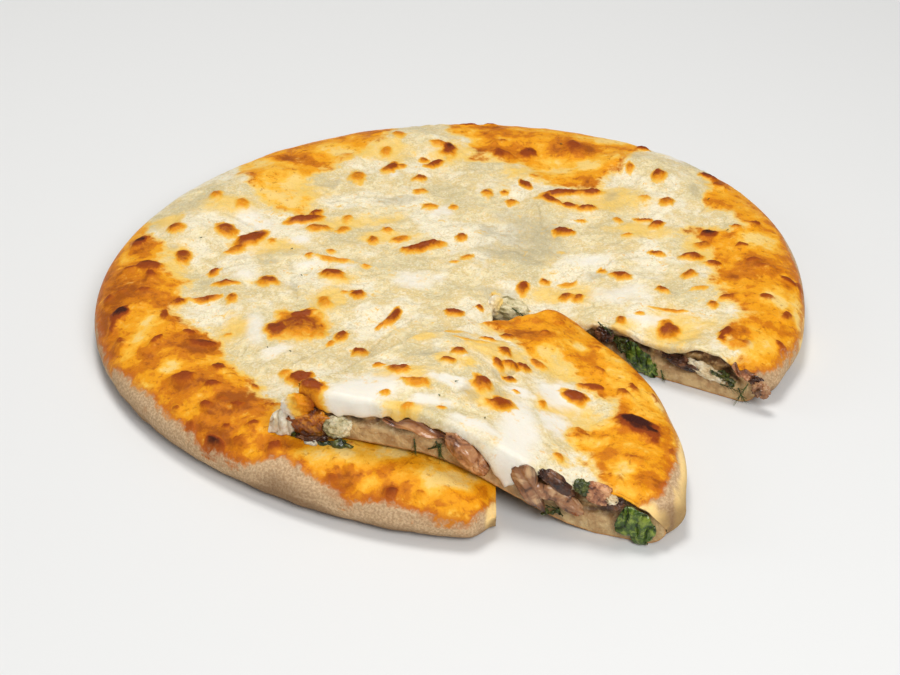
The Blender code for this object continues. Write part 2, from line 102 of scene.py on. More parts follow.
# Browned spots from the photo: across, down, how wide, how tall, how far they lean, how dark.
BREAD_SPOTS = (
    (296, 327, 56, 30, 5, 0.72), (277, 331, 24, 16, 0, 0.95), (300, 316, 26, 10, 15, 0.9),
    (318, 332, 20, 18, 0, 0.6), (341, 338, 14, 10, 25, 0.85), (330, 345, 9, 6, 30, 0.6),
    (216, 196, 13, 10, 0, 0.6), (242, 206, 14, 12, 0, 0.5), (176, 230, 18, 10, -10, 0.7),
    (226, 231, 22, 12, -15, 0.85), (250, 240, 34, 12, 22, 0.95), (235, 250, 20, 8, 20, 0.7),
    (183, 258, 16, 15, -30, 0.8), (272, 241, 7, 6, 0, 0.55), (357, 179, 17, 14, -30, 0.6),
    (345, 159, 22, 12, 0, 0.45), (304, 220, 34, 9, 8, 0.95), (316, 213, 14, 6, 20, 0.9),
    (318, 230, 24, 8, 5, 0.7), (347, 220, 10, 8, 0, 0.5), (343, 231, 14, 7, 10, 0.6),
    (373, 241, 11, 9, 0, 0.6), (387, 231, 12, 6, 0, 0.65), (400, 240, 20, 6, 15, 0.6),
    (386, 153, 12, 9, 0, 0.6), (390, 170, 18, 10, 20, 0.9), (402, 168, 8, 6, 0, 0.6),
    (309, 257, 7, 6, 0, 0.6), (331, 252, 8, 5, 0, 0.6), (335, 260, 40, 5, -10, 0.5),
    (366, 267, 10, 4, 0, 0.5), (268, 283, 22, 10, -5, 0.75), (333, 276, 26, 10, -12, 0.85),
    (325, 304, 16, 12, -30, 0.55), (358, 296, 16, 9, -20, 0.85), (345, 293, 8, 5, 0, 0.5),
    (214, 273, 11, 8, 30, 0.85), (226, 284, 24, 6, 0, 0.8), (206, 300, 30, 5, 6, 0.75),
    (232, 300, 12, 9, -25, 0.65), (148, 266, 30, 10, -6, 1.0), (151, 276, 14, 9, -25, 0.85),
    (130, 270, 16, 6, 0, 0.7), (139, 244, 17, 12, 30, 1.15), (119, 315, 20, 14, 10, 1.35),
    (108, 300, 12, 10, 0, 0.85), (143, 291, 20, 6, 0, 0.75), (122, 293, 18, 8, 0, 0.6),
    (178, 303, 20, 7, 30, 0.9), (164, 316, 10, 14, 20, 0.9), (172, 324, 14, 7, 0, 0.6),
    (189, 334, 14, 8, 0, 0.85), (156, 342, 16, 7, 30, 0.85), (202, 345, 30, 11, 5, 1.0),
    (228, 336, 8, 5, 0, 0.55), (393, 318, 22, 10, 50, 0.9), (380, 326, 10, 5, 30, 0.55),
    (301, 380, 26, 11, 0, 0.95), (285, 375, 14, 7, 0, 0.55), (360, 353, 16, 9, 0, 0.85),
    (220, 369, 14, 9, -15, 1.1), (183, 380, 24, 15, 0, 0.85), (212, 387, 18, 8, 0, 0.9),
    (206, 407, 16, 8, -10, 0.85), (238, 406, 15, 7, -10, 0.9), (222, 400, 12, 5, 0, 0.6),
    (255, 388, 9, 7, -30, 0.8), (253, 424, 16, 6, 0, 0.8), (226, 427, 11, 6, 0, 0.8),
    (215, 447, 26, 10, -20, 1.15), (240, 440, 22, 8, 0, 0.6), (351, 446, 9, 5, 0, 0.6),
    (391, 497, 15, 10, 0, 0.95), (271, 406, 26, 5, 8, 0.7), (274, 448, 16, 9, 0, 0.85),
    (190, 432, 14, 10, -30, 0.75), (175, 412, 10, 8, 0, 0.6), (378, 475, 10, 6, 0, 0.5),
    (420, 495, 12, 6, 0, 0.55), (350, 470, 14, 7, 0, 0.5), (300, 470, 14, 8, 0, 0.6),
    (333, 480, 16, 6, -20, 0.65), (445, 490, 12, 6, 0, 0.5), (335, 462, 9, 5, 0, 0.55),
    (399, 134, 12, 9, 0, 0.6), (380, 134, 16, 6, 0, 0.65), (449, 151, 15, 16, -40, 1.0),
    (434, 165, 20, 7, 20, 0.9), (424, 161, 9, 6, 0, 0.7), (420, 180, 14, 7, 10, 0.85),
    (421, 193, 14, 6, 0, 0.6), (430, 208, 15, 8, 5, 0.6), (454, 208, 10, 5, 0, 0.55),
    (440, 144, 20, 6, 0, 0.6), (423, 248, 38, 8, 12, 0.95), (408, 252, 14, 7, 0, 0.85),
    (462, 239, 12, 7, 0, 0.75), (467, 259, 14, 6, 10, 0.6), (455, 263, 10, 4, 0, 0.5),
    (502, 155, 26, 11, -5, 0.75), (499, 157, 12, 7, 0, 0.9), (528, 155, 20, 11, 0, 1.0),
    (575, 150, 24, 18, -20, 0.75), (487, 195, 11, 10, 20, 0.65), (512, 203, 12, 8, 0, 0.75),
    (526, 186, 14, 8, -35, 1.0), (535, 177, 12, 5, 0, 0.5), (504, 194, 8, 4, 0, 0.7),
    (562, 195, 44, 8, 8, 1.0), (590, 193, 26, 6, 0, 0.85), (552, 202, 22, 6, -25, 0.9),
    (570, 207, 16, 5, -10, 0.95), (587, 209, 20, 6, 0, 0.85), (564, 233, 20, 8, -5, 0.95),
    (618, 222, 11, 6, -25, 0.6), (581, 221, 12, 3, 0, 0.5), (630, 169, 8, 9, 0, 0.65),
    (659, 176, 14, 11, 0, 0.8), (667, 203, 15, 9, 0, 0.75), (644, 200, 12, 7, 0, 0.4),
    (643, 149, 13, 6, 0, 1.1), (709, 178, 18, 9, -15, 1.1), (720, 188, 16, 7, -30, 0.75),
    (657, 226, 16, 9, 20, 0.9), (644, 220, 20, 4, 0, 0.75), (627, 236, 12, 4, 0, 0.6),
    (709, 236, 18, 11, 0, 1.2), (703, 247, 18, 10, 0, 0.7), (691, 258, 25, 8, 0, 0.95),
    (714, 264, 18, 7, 0, 0.85), (657, 254, 16, 5, -15, 0.7), (621, 276, 20, 8, -15, 0.85),
    (602, 272, 9, 6, 0, 0.6), (689, 277, 16, 8, 10, 0.7), (663, 293, 13, 7, -25, 0.75),
    (523, 289, 12, 10, 10, 0.85), (545, 283, 10, 6, 0, 0.65), (566, 298, 14, 8, 10, 0.85),
    (578, 299, 11, 10, 20, 0.65), (568, 285, 18, 5, 0, 0.5), (621, 322, 9, 9, 20, 0.7),
    (669, 333, 22, 16, 0, 0.8), (672, 310, 36, 3, -6, 0.6), (713, 306, 11, 8, 0, 0.75),
    (728, 298, 22, 5, 10, 0.75), (726, 334, 16, 10, 30, 0.95), (722, 340, 7, 12, 0, 0.9),
    (767, 298, 18, 6, 0, 0.85), (790, 282, 24, 5, -10, 1.0), (800, 289, 8, 10, 0, 1.0),
    (742, 246, 16, 7, 0, 0.8), (752, 262, 22, 6, 10, 0.75), (764, 268, 20, 5, 0, 0.7),
    (736, 228, 12, 6, 0, 0.7), (754, 225, 16, 6, 10, 0.8), (740, 345, 30, 8, 5, 0.6),
    (782, 348, 16, 6, -20, 0.85), (786, 318, 16, 8, 30, 0.8), (454, 314, 20, 8, 0, 0.9),
    (480, 309, 8, 5, -40, 0.8), (468, 126, 20, 5, 0, 0.95), (490, 126, 14, 4, 0, 0.8),
    (700, 290, 20, 4, 10, 0.5), (640, 315, 10, 4, 0, 0.5), (500, 143, 18, 5, 10, 0.7),
    (112, 330, 10, 14, 0, 0.8), (120, 345, 14, 12, 0, 0.7), (140, 305, 22, 5, 0, 0.6),
    (146, 355, 12, 6, 0, 0.5),
)
SLICE_SPOTS = (
    (313, 412, 26, 16, 0, 0.95), (322, 404, 12, 10, 0, 0.55), (306, 402, 10, 8, 0, 0.5),
    (379, 366, 12, 5, 0, 0.75), (399, 370, 22, 11, -8, 0.8), (416, 383, 28, 9, -5, 0.65),
    (385, 395, 10, 6, 15, 0.55), (408, 409, 12, 6, 0, 0.5), (421, 335, 14, 6, 10, 0.5),
    (459, 352, 15, 9, 0, 0.85), (449, 361, 14, 6, 0, 0.7), (488, 340, 16, 6, 0, 0.85),
    (508, 338, 14, 9, -15, 0.9), (505, 352, 13, 11, 10, 0.8), (498, 364, 14, 8, -40, 0.85),
    (512, 366, 18, 7, 5, 0.8), (523, 367, 14, 9, 10, 0.95), (538, 365, 16, 7, -15, 0.65),
    (509, 377, 13, 5, 0, 0.85), (482, 385, 19, 13, 0, 0.8), (501, 406, 26, 12, 14, 0.9),
    (593, 389, 28, 7, -5, 0.95), (574, 400, 27, 11, -8, 1.0), (543, 406, 8, 8, 0, 0.55),
    (442, 408, 10, 3, 0, 0.5), (626, 425, 18, 9, 5, 1.0), (640, 427, 44, 18, -14, 1.3),
    (652, 435, 18, 12, -20, 1.2), (655, 443, 10, 8, 0, 0.8), (559, 460, 9, 9, 0, 0.6),
    (583, 437, 24, 12, -10, 0.6), (586, 438, 8, 5, 0, 0.7), (610, 478, 6, 7, 0, 0.6),
    (620, 480, 8, 7, 0, 0.6), (666, 488, 12, 9, 0, 0.75), (640, 487, 10, 8, 0, 0.5), (516, 393, 8, 4, 0, 0.5),
    (470, 340, 34, 6, 0, 0.4), (545, 333, 10, 6, 0, 0.65), (600, 372, 14, 7, -30, 0.7),
    (625, 395, 18, 8, -25, 0.7), (636, 365, 14, 8, -40, 0.7), (600, 350, 14, 5, -30, 0.6),
    (560, 322, 14, 5, 0, 0.55), (655, 400, 14, 8, -50, 0.7), (672, 455, 10, 12, 0, 0.7),
    (495, 325, 24, 5, 0, 0.6), (560, 350, 12, 5, 0, 0.5), (605, 440, 16, 8, 0, 0.45),
    (635, 460, 26, 8, -15, 0.6), (648, 515, 16, 6, -20, 0.6), (450, 332, 30, 4, 6, 0.35),
)

# Smooth white cheese, and greyish see-through cheese with one patch that is partly painted shade, with the
# same first five numbers, then the lines of thin creases, painted darker as shade, and the places of loose
# flecks of dill.
BREAD_POOLS = (
    (255, 222, 44, 22, -20), (257, 330, 20, 40, 20), (275, 352, 34, 12, 10), (415, 280, 50, 18, 0),
    (620, 295, 64, 20, 0), (748, 308, 34, 14, 0), (742, 222, 14, 12, 0), (675, 160, 24, 8, -25),
    (395, 176, 12, 8, 0), (555, 175, 20, 14, 0), (650, 320, 40, 10, 0), (245, 275, 30, 10, 0),
    (720, 345, 22, 10, 10), (440, 212, 30, 14, 0), (590, 262, 40, 10, 0), (300, 240, 24, 8, 0),
    (345, 268, 24, 6, 0), (310, 264, 30, 6, 10), (790, 310, 6, 14, 0),
)
SLICE_POOLS = (
    (362, 392, 84, 34, 10), (520, 436, 44, 78, -10), (560, 398, 50, 24, 0), (619, 478, 30, 18, 0),
    (584, 446, 22, 7, 0), (576, 349, 18, 7, -10), (475, 425, 50, 12, -5), (450, 380, 40, 10, 0),
    (430, 400, 40, 12, 0), (520, 392, 30, 10, 0), (555, 425, 30, 24, 0),
)
BREAD_GREYS_AND_SHADE = (
    (331, 183, 24, 12, 15), (492, 232, 26, 20, 0), (542, 228, 18, 34, 30), (530, 258, 34, 14, 0),
    (610, 196, 18, 14, 0), (268, 262, 22, 7, 0), (293, 286, 7, 26, 10), (505, 250, 60, 26, 0),
    # The third patch on the next line, in the hollow at the cut's tip, is grey cheese and painted shade.
    (600, 275, 40, 10, 10), (695, 190, 12, 16, 0), (500, 308, 44, 14, 0), (524, 236, 90, 56, 0),
    (172, 246, 16, 6, 0), (205, 283, 14, 8, 0), (545, 170, 24, 8, 0), (400, 200, 50, 10, 5),
)
SLICE_GREYS = ((470, 393, 22, 14, 0), (500, 395, 18, 10, 0), (500, 372, 26, 8, 20), (430, 350, 30, 8, 10))
# Along these creases the cheese dips and is painted darker: painted shade.
BREAD_CREASES = (
    ((292, 366), (308, 357), (323, 350), (338, 341)), ((290, 262), (296, 280), (297, 305)),
    ((205, 258), (222, 270), (250, 262)), ((330, 202), (360, 198), (395, 196)),
    ((368, 350), (388, 334), (410, 322)), ((538, 208), (543, 226), (556, 238)),
    ((512, 250), (530, 256), (545, 262)), ((612, 178), (618, 160), (632, 150)),
    ((226, 214), (245, 222), (262, 232)), ((600, 272), (612, 262), (640, 256)),
    ((695, 195), (712, 200), (700, 212)),
)
SLICE_CREASES = (((500, 378), (515, 371), (528, 362)), ((455, 392), (470, 386), (480, 378)))
SPECKS = ((268, 349), (291, 353), (202, 239), (293, 250), (302, 277), (560, 145), (709, 200), (728, 231))
SLICE_SPECKS = ((455, 383), (440, 397), (626, 396), (509, 379), (485, 419))

# Where the floury side of the bread begins, along the near side and at the right.
FLOUR_LINE = (
    (98, 330), (110, 366), (130, 378), (149, 393), (166, 412), (194, 436), (209, 455), (245, 462), (284, 457),
    (319, 478), (346, 502), (370, 500), (395, 503), (422, 514), (440, 520), (456, 519), (466, 533),
    (476, 516), (486, 508), (494, 498),
)
FLOUR_RIGHT = ((803, 330), (803, 300), (798, 275), (788, 250))

# How far it reaches inside the rim where the photo doesn't show it: degrees round the bread and millimetres.
FLOUR_HIDDEN = ((60, 0.5), (90, 0), (120, 0), (150, 0.3), (285, 2), (300, 1.5), (315, 1.5), (332, 3))

# Where the cheese ends, traced round the bread and round the slice. A few points lie off the food.
BREAD_CHEESE_LINE = (
    (292, 404), (280, 406), (264, 400), (252, 382), (236, 365), (222, 342), (202, 332), (181, 321),
    (170, 307), (182, 295), (188, 281), (167, 270), (163, 247), (150, 232), (140, 222), (130, 205),
    (160, 175), (200, 152), (232, 140), (240, 172), (250, 186), (261, 198), (276, 208), (298, 216),
    (306, 203), (304, 179), (322, 171), (352, 158), (368, 147), (390, 139), (396, 118), (440, 112),
    (447, 131), (466, 139), (476, 157), (501, 162), (528, 167), (536, 181), (575, 188), (601, 189),
    (610, 174), (622, 158), (638, 151), (645, 130), (700, 138), (716, 165), (705, 178), (704, 200),
    (712, 212), (730, 214), (743, 225), (728, 233), (702, 226), (688, 232), (702, 248), (716, 268),
    (712, 284), (728, 299), (750, 311), (735, 321), (722, 331), (724, 344), (744, 348), (738, 360),
    (733, 372), (705, 405), (600, 380), (500, 330), (496, 420), (400, 415), (330, 408),
)
SLICE_CHEESE_LINE = (
    (262, 402), (300, 450), (400, 480), (500, 520), (606, 500), (600, 476), (579, 453), (562, 441),
    (568, 431), (600, 431), (616, 420), (617, 405), (600, 397), (582, 388), (573, 380), (566, 366),
    (553, 357), (538, 362), (521, 349), (512, 341), (498, 333), (482, 325), (466, 306), (380, 330),
    (270, 385),
)

# Broad soft patches: golden cheese, crust baked darker or left paler, and a few of painted shade and light.
BREAD_GOLDS = (
    (295, 196, 70, 40, 0), (545, 172, 90, 26, 0), (452, 152, 50, 26, 0), (676, 330, 66, 34, 0),
    (622, 350, 40, 12, 10), (232, 330, 34, 28, 0), (566, 296, 70, 18, 0), (700, 250, 34, 44, 0),
    (346, 224, 90, 16, 5), (176, 262, 34, 40, 0), (170, 222, 30, 20, 0), (250, 392, 34, 20, 30),
    (230, 205, 60, 20, 0), (640, 230, 70, 20, 0), (600, 200, 90, 26, 0), (330, 300, 40, 30, 0),
    (385, 236, 60, 14, 0), (270, 245, 60, 18, 0), (335, 280, 40, 14, 0), (380, 150, 60, 20, 0),
)
SLICE_GOLDS = (
    (500, 352, 70, 44, 0), (597, 436, 80, 34, 0), (565, 372, 60, 26, 0), (636, 484, 60, 40, 0),
    (402, 374, 60, 18, 0), (488, 396, 60, 24, 0), (520, 335, 70, 18, 0), (420, 336, 40, 10, 0),
    (452, 357, 40, 16, 0), (560, 408, 60, 24, 0), (408, 408, 40, 10, 0), (560, 460, 20, 14, 0),
)
BREAD_DARKS_AND_SHADE = (
    # The second patch on the next line, down the left edge, is darker crust and painted shade.
    (124, 282, 60, 36, -30), (106, 320, 30, 90, 10), (140, 246, 26, 18, -30), (202, 346, 50, 18, 0),
    (186, 382, 60, 26, 10), (226, 404, 60, 22, 0), (218, 444, 60, 22, -20), (392, 494, 50, 14, 0),
    (706, 240, 46, 30, 0), (796, 285, 22, 40, 10), (725, 334, 44, 20, 0), (575, 150, 50, 20, 0),
    (508, 155, 60, 14, 0), (446, 148, 30, 16, 0), (560, 197, 80, 14, 0), (760, 268, 50, 20, 10),
    (150, 350, 40, 20, 20), (280, 440, 50, 14, 0), (300, 160, 60, 10, -15), (480, 128, 50, 6, 0),
    (715, 180, 30, 14, -30), (345, 478, 40, 14, -10),
)
SLICE_DARKS = (
    (644, 430, 44, 24, -15), (566, 398, 70, 20, 0), (672, 458, 16, 50, 0), (530, 334, 40, 12, 0),
    (650, 486, 40, 20, 0), (616, 408, 30, 20, 0),
)
BREAD_PALES_AND_LIGHT = (
    (290, 190, 70, 44, 0), (562, 168, 100, 30, 0), (600, 140, 60, 14, 0), (340, 150, 70, 14, -10),
    (470, 142, 30, 14, 0), (440, 478, 90, 22, 8), (300, 432, 60, 16, 0), (330, 452, 60, 14, 0),
    (250, 372, 26, 10, 0), (150, 322, 20, 14, 0), (760, 240, 40, 18, 0), (775, 300, 30, 14, 0),
    (620, 138, 40, 8, 0), (745, 345, 24, 10, 0), (170, 366, 20, 12, 0), (801, 318, 16, 70, 0),
    (493, 516, 16, 44, 0), (240, 166, 90, 30, -20), (365, 484, 30, 10, 4), (140, 340, 30, 24, 30),
    # The first patch on the next line is painted light over the slice's shadow on the crust in front of it.
    (385, 453, 90, 16, 10), (760, 340, 40, 24, 0),
)
SLICE_PALES_AND_LIGHT = (
    (648, 504, 60, 26, -30), (660, 400, 20, 40, 0), (586, 446, 40, 12, 0), (546, 352, 22, 12, 0),
    (600, 425, 30, 8, 0), (624, 470, 26, 18, 0), (575, 345, 24, 10, 0), (684, 492, 26, 110, 0),
    # This patch is painted light on the slice's back crust, which faces away from the lamps.
    (625, 378, 60, 26, -50),
)

# The outer corners of the cut are baked round: the rim draws in beside both cuts, and the top comes down.
CORNER_DEPTH = 6.5 * MM
CORNER_SPREAD = 4.2
CORNER_REACH = ((CUT_LEFT, 132 * MM), (CUT_RIGHT, 128 * MM))
CORNER_DROP = 3.2 * MM
CORNER_ALONG_CUT = 6 * MM
CORNER_ALONG_RIM = 4 * MM, 14 * MM

# The cut that the photo shows on each: where it starts and which way it runs. The slice's other edge is its
# back.
SHOWN_CUTS = {"bread": (CUT_TIP, CUT_RIGHT), "slice": (SLICE_TIP, CUT_LEFT + SLICE_TURN)}
SLICE_BACK = SLICE_TURN + CUT_RIGHT

# A pixel's ray is followed down from this height in so many steps. One that misses ends at the height given.
RAY_TOP, RAY_STEPS = 46 * MM, 185
MISSED = {"bread": 12 * MM, "slice": 30 * MM}

# The band along the rim with closer rows, how near and far from the cut's tip the rim is sought, and the least
# gap between a piece and what it lies on.
RIM_BAND = 9 * MM
RIM_SOUGHT = 50 * MM, 250 * MM
CLEAR = 0.1 * MM

rng = np.random.default_rng(7)


# Numbers


def smooth(share):
    share = np.clip(share, 0.0, 1.0)
    return share * share * (3 - 2 * share)


def soft_min(a, b, width):
    blend = np.clip(0.5 + 0.5 * (b - a) / width, 0, 1)
    return b + (a - b) * blend - width * blend * (1 - blend)


def stepped(table, at, beyond):
    """Goes smoothly from each value of a table to the next; outside the table the value is that of beyond."""
    value = beyond
    for (start, first), (end, last) in zip(table, table[1:]):
        between = (at >= start) & (at <= end)
        value = np.where(between, first + (last - first) * smooth((at - start) / (end - start)), value)
    return value


def heading(angle):
    return np.array((math.cos(angle), math.sin(angle)))


def hashed(ix, iy, seed):
    """A steady random number from 0 to 1 for each whole-number place."""
    n = ix.astype(np.int64) * 374761393 + iy.astype(np.int64) * 668265263 + seed * 974711
    n = (n ^ (n >> 13)) * 1274126177
    n = n ^ (n >> 16)
    return (n & 0xFFFFF) / float(0xFFFFF)


def waves(x, y, size, seed=0, octaves=1):
    """Soft noise from about -1 to 1 over the plane, with finer octaves added at half strength."""
    total, strength, reach = 0.0, 1.0, 0.0
    for octave in range(octaves):
        u, v = x / size * 2**octave, y / size * 2**octave
        iu, iv = np.floor(u), np.floor(v)
        fu, fv = u - iu, v - iv
        value = 0.0
        for du in (0, 1):
            for dv in (0, 1):
                turn = hashed(iu + du, iv + dv, seed + octave * 17) * 2 * math.pi
                slope = np.cos(turn) * (fu - du) + np.sin(turn) * (fv - dv)
                wu = smooth(1 - np.abs(fu - du))
                wv = smooth(1 - np.abs(fv - dv))
                value = value + slope * wu * wv
        total = total + value * 1.7 * strength
        reach += strength
        strength *= 0.5
    return total / reach**0.5


def solid_noise(x, y, z, size):
    """The smooth noise that the solids use, at each point."""
    shape = np.shape(x)
    points = zip(np.ravel(x) / size, np.ravel(y) / size, np.ravel(np.broadcast_to(z, shape)) / size)
    return np.array([noise.noise(Vector(p)) for p in points]).reshape(shape)


# The bread's form


CORNERS = [CUT_TIP + reach * heading(cut) for cut, reach in CORNER_REACH]
CORNER_DENTS = tuple((math.degrees(math.atan2(y, x)), CORNER_SPREAD, CORNER_DEPTH) for x, y in CORNERS)


def rim_radius(angle):
    total = RADIUS
    for k, c, s in OUTLINE_WAVES:
        total = total + c * np.cos(k * angle) + s * np.sin(k * angle)
    for place, spread, depth in RIM_DENTS + CORNER_DENTS:
        away = (np.degrees(angle) - place + 180) % 360 - 180
        total = total - depth * smooth(1 - np.abs(away) / spread)
    return total


def cheese_inset(angle):
    degrees = np.degrees(angle) % 360
    return stepped(CHEESE_EDGE, degrees, np.zeros_like(degrees)) * MM


def inside_rim(x, y):
    return rim_radius(np.arctan2(y, x)) - np.hypot(x, y)


def dough_height(x, y, lumps=True):
    inside = np.maximum(inside_rim(x, y), 0)
    across = np.minimum(inside / RIM_WIDTH, 1)
    shoulder = (1 - (1 - across) ** RIM_POWER) ** (1 / RIM_POWER)
    height = EQUATOR + (RIM_CREST - EQUATOR) * shoulder
    height = height - (RIM_CREST - MIDDLE) * smooth((inside - RIM_WIDTH * 0.7) / RIM_FALL)
    if lumps:
        height = height + LUMP_HEIGHT * solid_noise(x, y, 0, LUMP_SIZE) * across
    return height


def cheese_depth(x, y, lumps=True):
    inside = inside_rim(x, y) - cheese_inset(np.arctan2(y, x))
    grown = smooth((inside + 2 * MM) / CHEESE_TAPER)
    depth = CHEESE_THICKNESS + GAP
    if lumps:
        depth = depth + CHEESE_LUMPS * solid_noise(x, y, 0.3, CHEESE_LUMP_SIZE)
    return np.maximum(depth * grown, 0)


def corner_drop(x, y):
    """How far the top rounds down towards the cut at its outer corners."""
    dx, dy = x - CUT_TIP[0], y - CUT_TIP[1]
    nearest = np.full_like(x, 1.0)
    for cut in (CUT_LEFT, CUT_RIGHT):
        beside = np.abs(dx * math.sin(cut) - dy * math.cos(cut))
        nearest = np.where(dx * math.cos(cut) + dy * math.sin(cut) > 0, np.minimum(nearest, beside), nearest)
    start, fade = CORNER_ALONG_RIM
    along_rim = smooth(1 - (inside_rim(x, y) - start) / fade)
    return CORNER_DROP * smooth(1 - nearest / CORNER_ALONG_CUT) * along_rim


def sag(x, y):
    start = SAG_START + (y - SAG_FRONT) * SAG_DELAY
    return SAG_TOP * (1 - smooth((x - start) / SAG_LENGTH))


def along_back(x, y):
    """How far a place lies along the slice's back edge from its tip, and how far behind that edge."""
    dx, dy = x - SLICE_TIP[0], y - SLICE_TIP[1]
    c, s = heading(SLICE_BACK)
    return dx * c + dy * s, dy * c - dx * s


def back_share(x, y):
    """The slice's height at a place as a share of the bread's, less than 1 near its squashed back edge."""
    along, behind = along_back(x, y)
    along, beside = along / MM, np.abs(behind)
    lower = stepped(BACK_SQUASH, along, np.where(along > BACK_SQUASH[-1][0], BACK_SQUASH[-1][1], 0.0))
    share = 1 - lower * MM / SQUASH_HEIGHT * smooth(1 - beside / SQUASH_WIDTH)
    reach = np.hypot(x - SLICE_TIP[0], y - SLICE_TIP[1])
    turn = np.degrees(np.arctan2(y - SLICE_TIP[1], x - SLICE_TIP[0]))
    low, high = RISE_DEGREES
    rise = CRUST_RISE * smooth((reach - RISE_START) / RISE_WIDTH) * smooth((turn - low) / (high - low))
    return share * (1 + rise)


def press_share(x, y, top):
    """The bread's height at a place as a share of its own, less than 1 where the slice presses it down."""
    wall = CUT_TIP[0] + (y - CUT_TIP[1]) / math.tan(CUT_LEFT) + 2 * MM
    allowed = sag(np.minimum(x, wall), y) - 3 * GAP
    share = np.minimum(soft_min(top, allowed, SAG_SOFTNESS) / top, 1)
    share = share + (1 - share) * smooth((x - wall) / PRESS_FADE)
    _along, behind = along_back(x, y)
    return share + (1 - share) * smooth(behind / PRESS_BACK_FADE - 0.2)


def carried(x, y, start, end, turn):
    """Plan position after a turn round start that is then moved onto end."""
    c, s = heading(turn)
    dx, dy = x - start[0], y - start[1]
    return end[0] + c * dx - s * dy, end[1] + s * dx + c * dy


def to_slice(x, y):
    return carried(x, y, CUT_TIP, SLICE_TIP, SLICE_TURN)


def from_slice(x, y):
    return carried(x, y, SLICE_TIP, CUT_TIP, -SLICE_TURN)


# The photo's pixels, carried onto the bread and the slice


def plain_top(which, x, y):
    """Height of the smooth upper surface over plan points in the frame, or below the table outside it."""
    sx, sy = from_slice(x, y) if which == "slice" else (x, y)
    angle = np.arctan2(sy - CUT_TIP[1], sx - CUT_TIP[0])
    in_wedge = (angle > CUT_LEFT) & (angle < CUT_RIGHT)
    top = dough_height(sx, sy, False) + cheese_depth(sx, sy, False)
    here = inside_rim(sx, sy) > 0
    if which == "slice":
        return np.where(here & in_wedge, top * back_share(x, y) + sag(x, y), -1)
    return np.where(here & ~in_wedge, top * press_share(x, y, top), -1)


def photo_rays(px, py):
    back = np.array((0, -math.cos(CAMERA_TILT), math.sin(CAMERA_TILT)))
    right = np.array((1.0, 0, 0))
    up = np.cross(right, -back)
    px, py = np.atleast_1d(np.asarray(px, float)), np.atleast_1d(np.asarray(py, float))
    across, down = (px - PHOTO_WIDE / 2) / FOCAL_PIXELS, (py - PHOTO_TALL / 2) / FOCAL_PIXELS
    direction = -back + across[:, None] * right - down[:, None] * up
    return AIM + back * CAMERA_DISTANCE, direction


def from_photo(which, px, py):
    """Plan points where the photo's pixels meet the bread or the slice."""
    eye, direction = photo_rays(px, py)
    best = (eye + direction * ((MISSED[which] - eye[2]) / direction[:, 2])[:, None])[:, :2]
    found = np.zeros(len(best), bool)
    for height in np.linspace(RAY_TOP, 0, RAY_STEPS):
        point = eye + direction * ((height - eye[2]) / direction[:, 2])[:, None]
        met = (plain_top(which, point[:, 0], point[:, 1]) >= height) & ~found
        best[met] = point[met, :2]
        found |= met
    return best


def cut_pixel(which, px, py, out):
    """How far along a cut, and how high, the photo shows a point that stands out of its face."""
    start, direction = SHOWN_CUTS[which]
    outwards = heading(direction - math.pi / 2)
    eye, ray = photo_rays(px, py)
    reach = ((start + outwards * out - eye[:2]) @ outwards) / (ray[0, :2] @ outwards)
    point = eye + ray[0] * reach
    lifted = sag(point[0], point[1]) if which == "slice" else 0
    return float((point[:2] - start) @ heading(direction)), float(point[2] - lifted)


def spot_sizes(place, wide, tall, lean):
    """Half sizes in the plan, and the lean there, of an ellipse that the photo shows."""
    depth = CAMERA_DISTANCE + (place[1] - AIM[1]) * math.cos(CAMERA_TILT)
    across = depth / FOCAL_PIXELS
    along = across / math.sin(CAMERA_TILT)
    angle = math.radians(lean)
    long_axis = np.array((math.cos(angle) * across, math.sin(angle) * along)) * wide / 2
    short_axis = np.array((-math.sin(angle) * across, math.cos(angle) * along)) * tall / 2
    return long_axis, short_axis


def nearness(x, y, which, marks, ragged):
    """For every mark, how far each plan point is from its middle, 1 at its edge, and how far up it lies."""
    places = from_photo(which, [m[0] for m in marks], [m[1] for m in marks])
    for number, (mark, place) in enumerate(zip(marks, places)):
        a, b = spot_sizes(place, *mark[2:5])
        spread = max(np.hypot(*a), np.hypot(*b))
        reach = 2.3 * max(spread, 1 * MM)
        near = (np.abs(x - place[0]) < reach) & (np.abs(y - place[1]) < reach)
        dx, dy = x[near] - place[0], y[near] - place[1]
        size = max(0.75 * spread, 1.6 * MM)
        warp_u = waves(dx, dy, size, number * 2 + 5, 3) * ragged
        warp_v = waves(dx, dy, size, number * 2 + 6, 3) * ragged
        basis = a[0] * b[1] - a[1] * b[0]
        u = (dx * b[1] - dy * b[0]) / basis + warp_u
        v = (dy * a[0] - dx * a[1]) / basis + warp_v
        yield mark, near, np.hypot(u, v), dy / spread


def toast_and_shade_of(x, y, which, spots):
    """How browned each point is, with painted shade on each spot's far side, and how far its blister rises."""
    toast_and_shade, rise = np.zeros_like(x), np.zeros_like(x)
    for mark, near, away, above in nearness(x, y, which, spots, 0.3):
        darkness = mark[5]
        fading = smooth((1.5 - away) / 1.05)
        # Each spot is darker on its far side and lighter on its near side: painted shade and light on the
        # blister.
        toast_and_shade[near] = np.maximum(toast_and_shade[near], darkness * fading * (0.9 + 0.32 * np.clip(above, -1, 1)))
        size = min(mark[2] * 0.4, mark[3] * 0.75) * MM
        dome = smooth((1.3 - away) / 0.9) * min(0.26 * size + 0.3 * MM, 1.8 * MM) * min(darkness + 0.2, 1)
        rise[near] = np.maximum(rise[near], dome)
    return toast_and_shade, rise


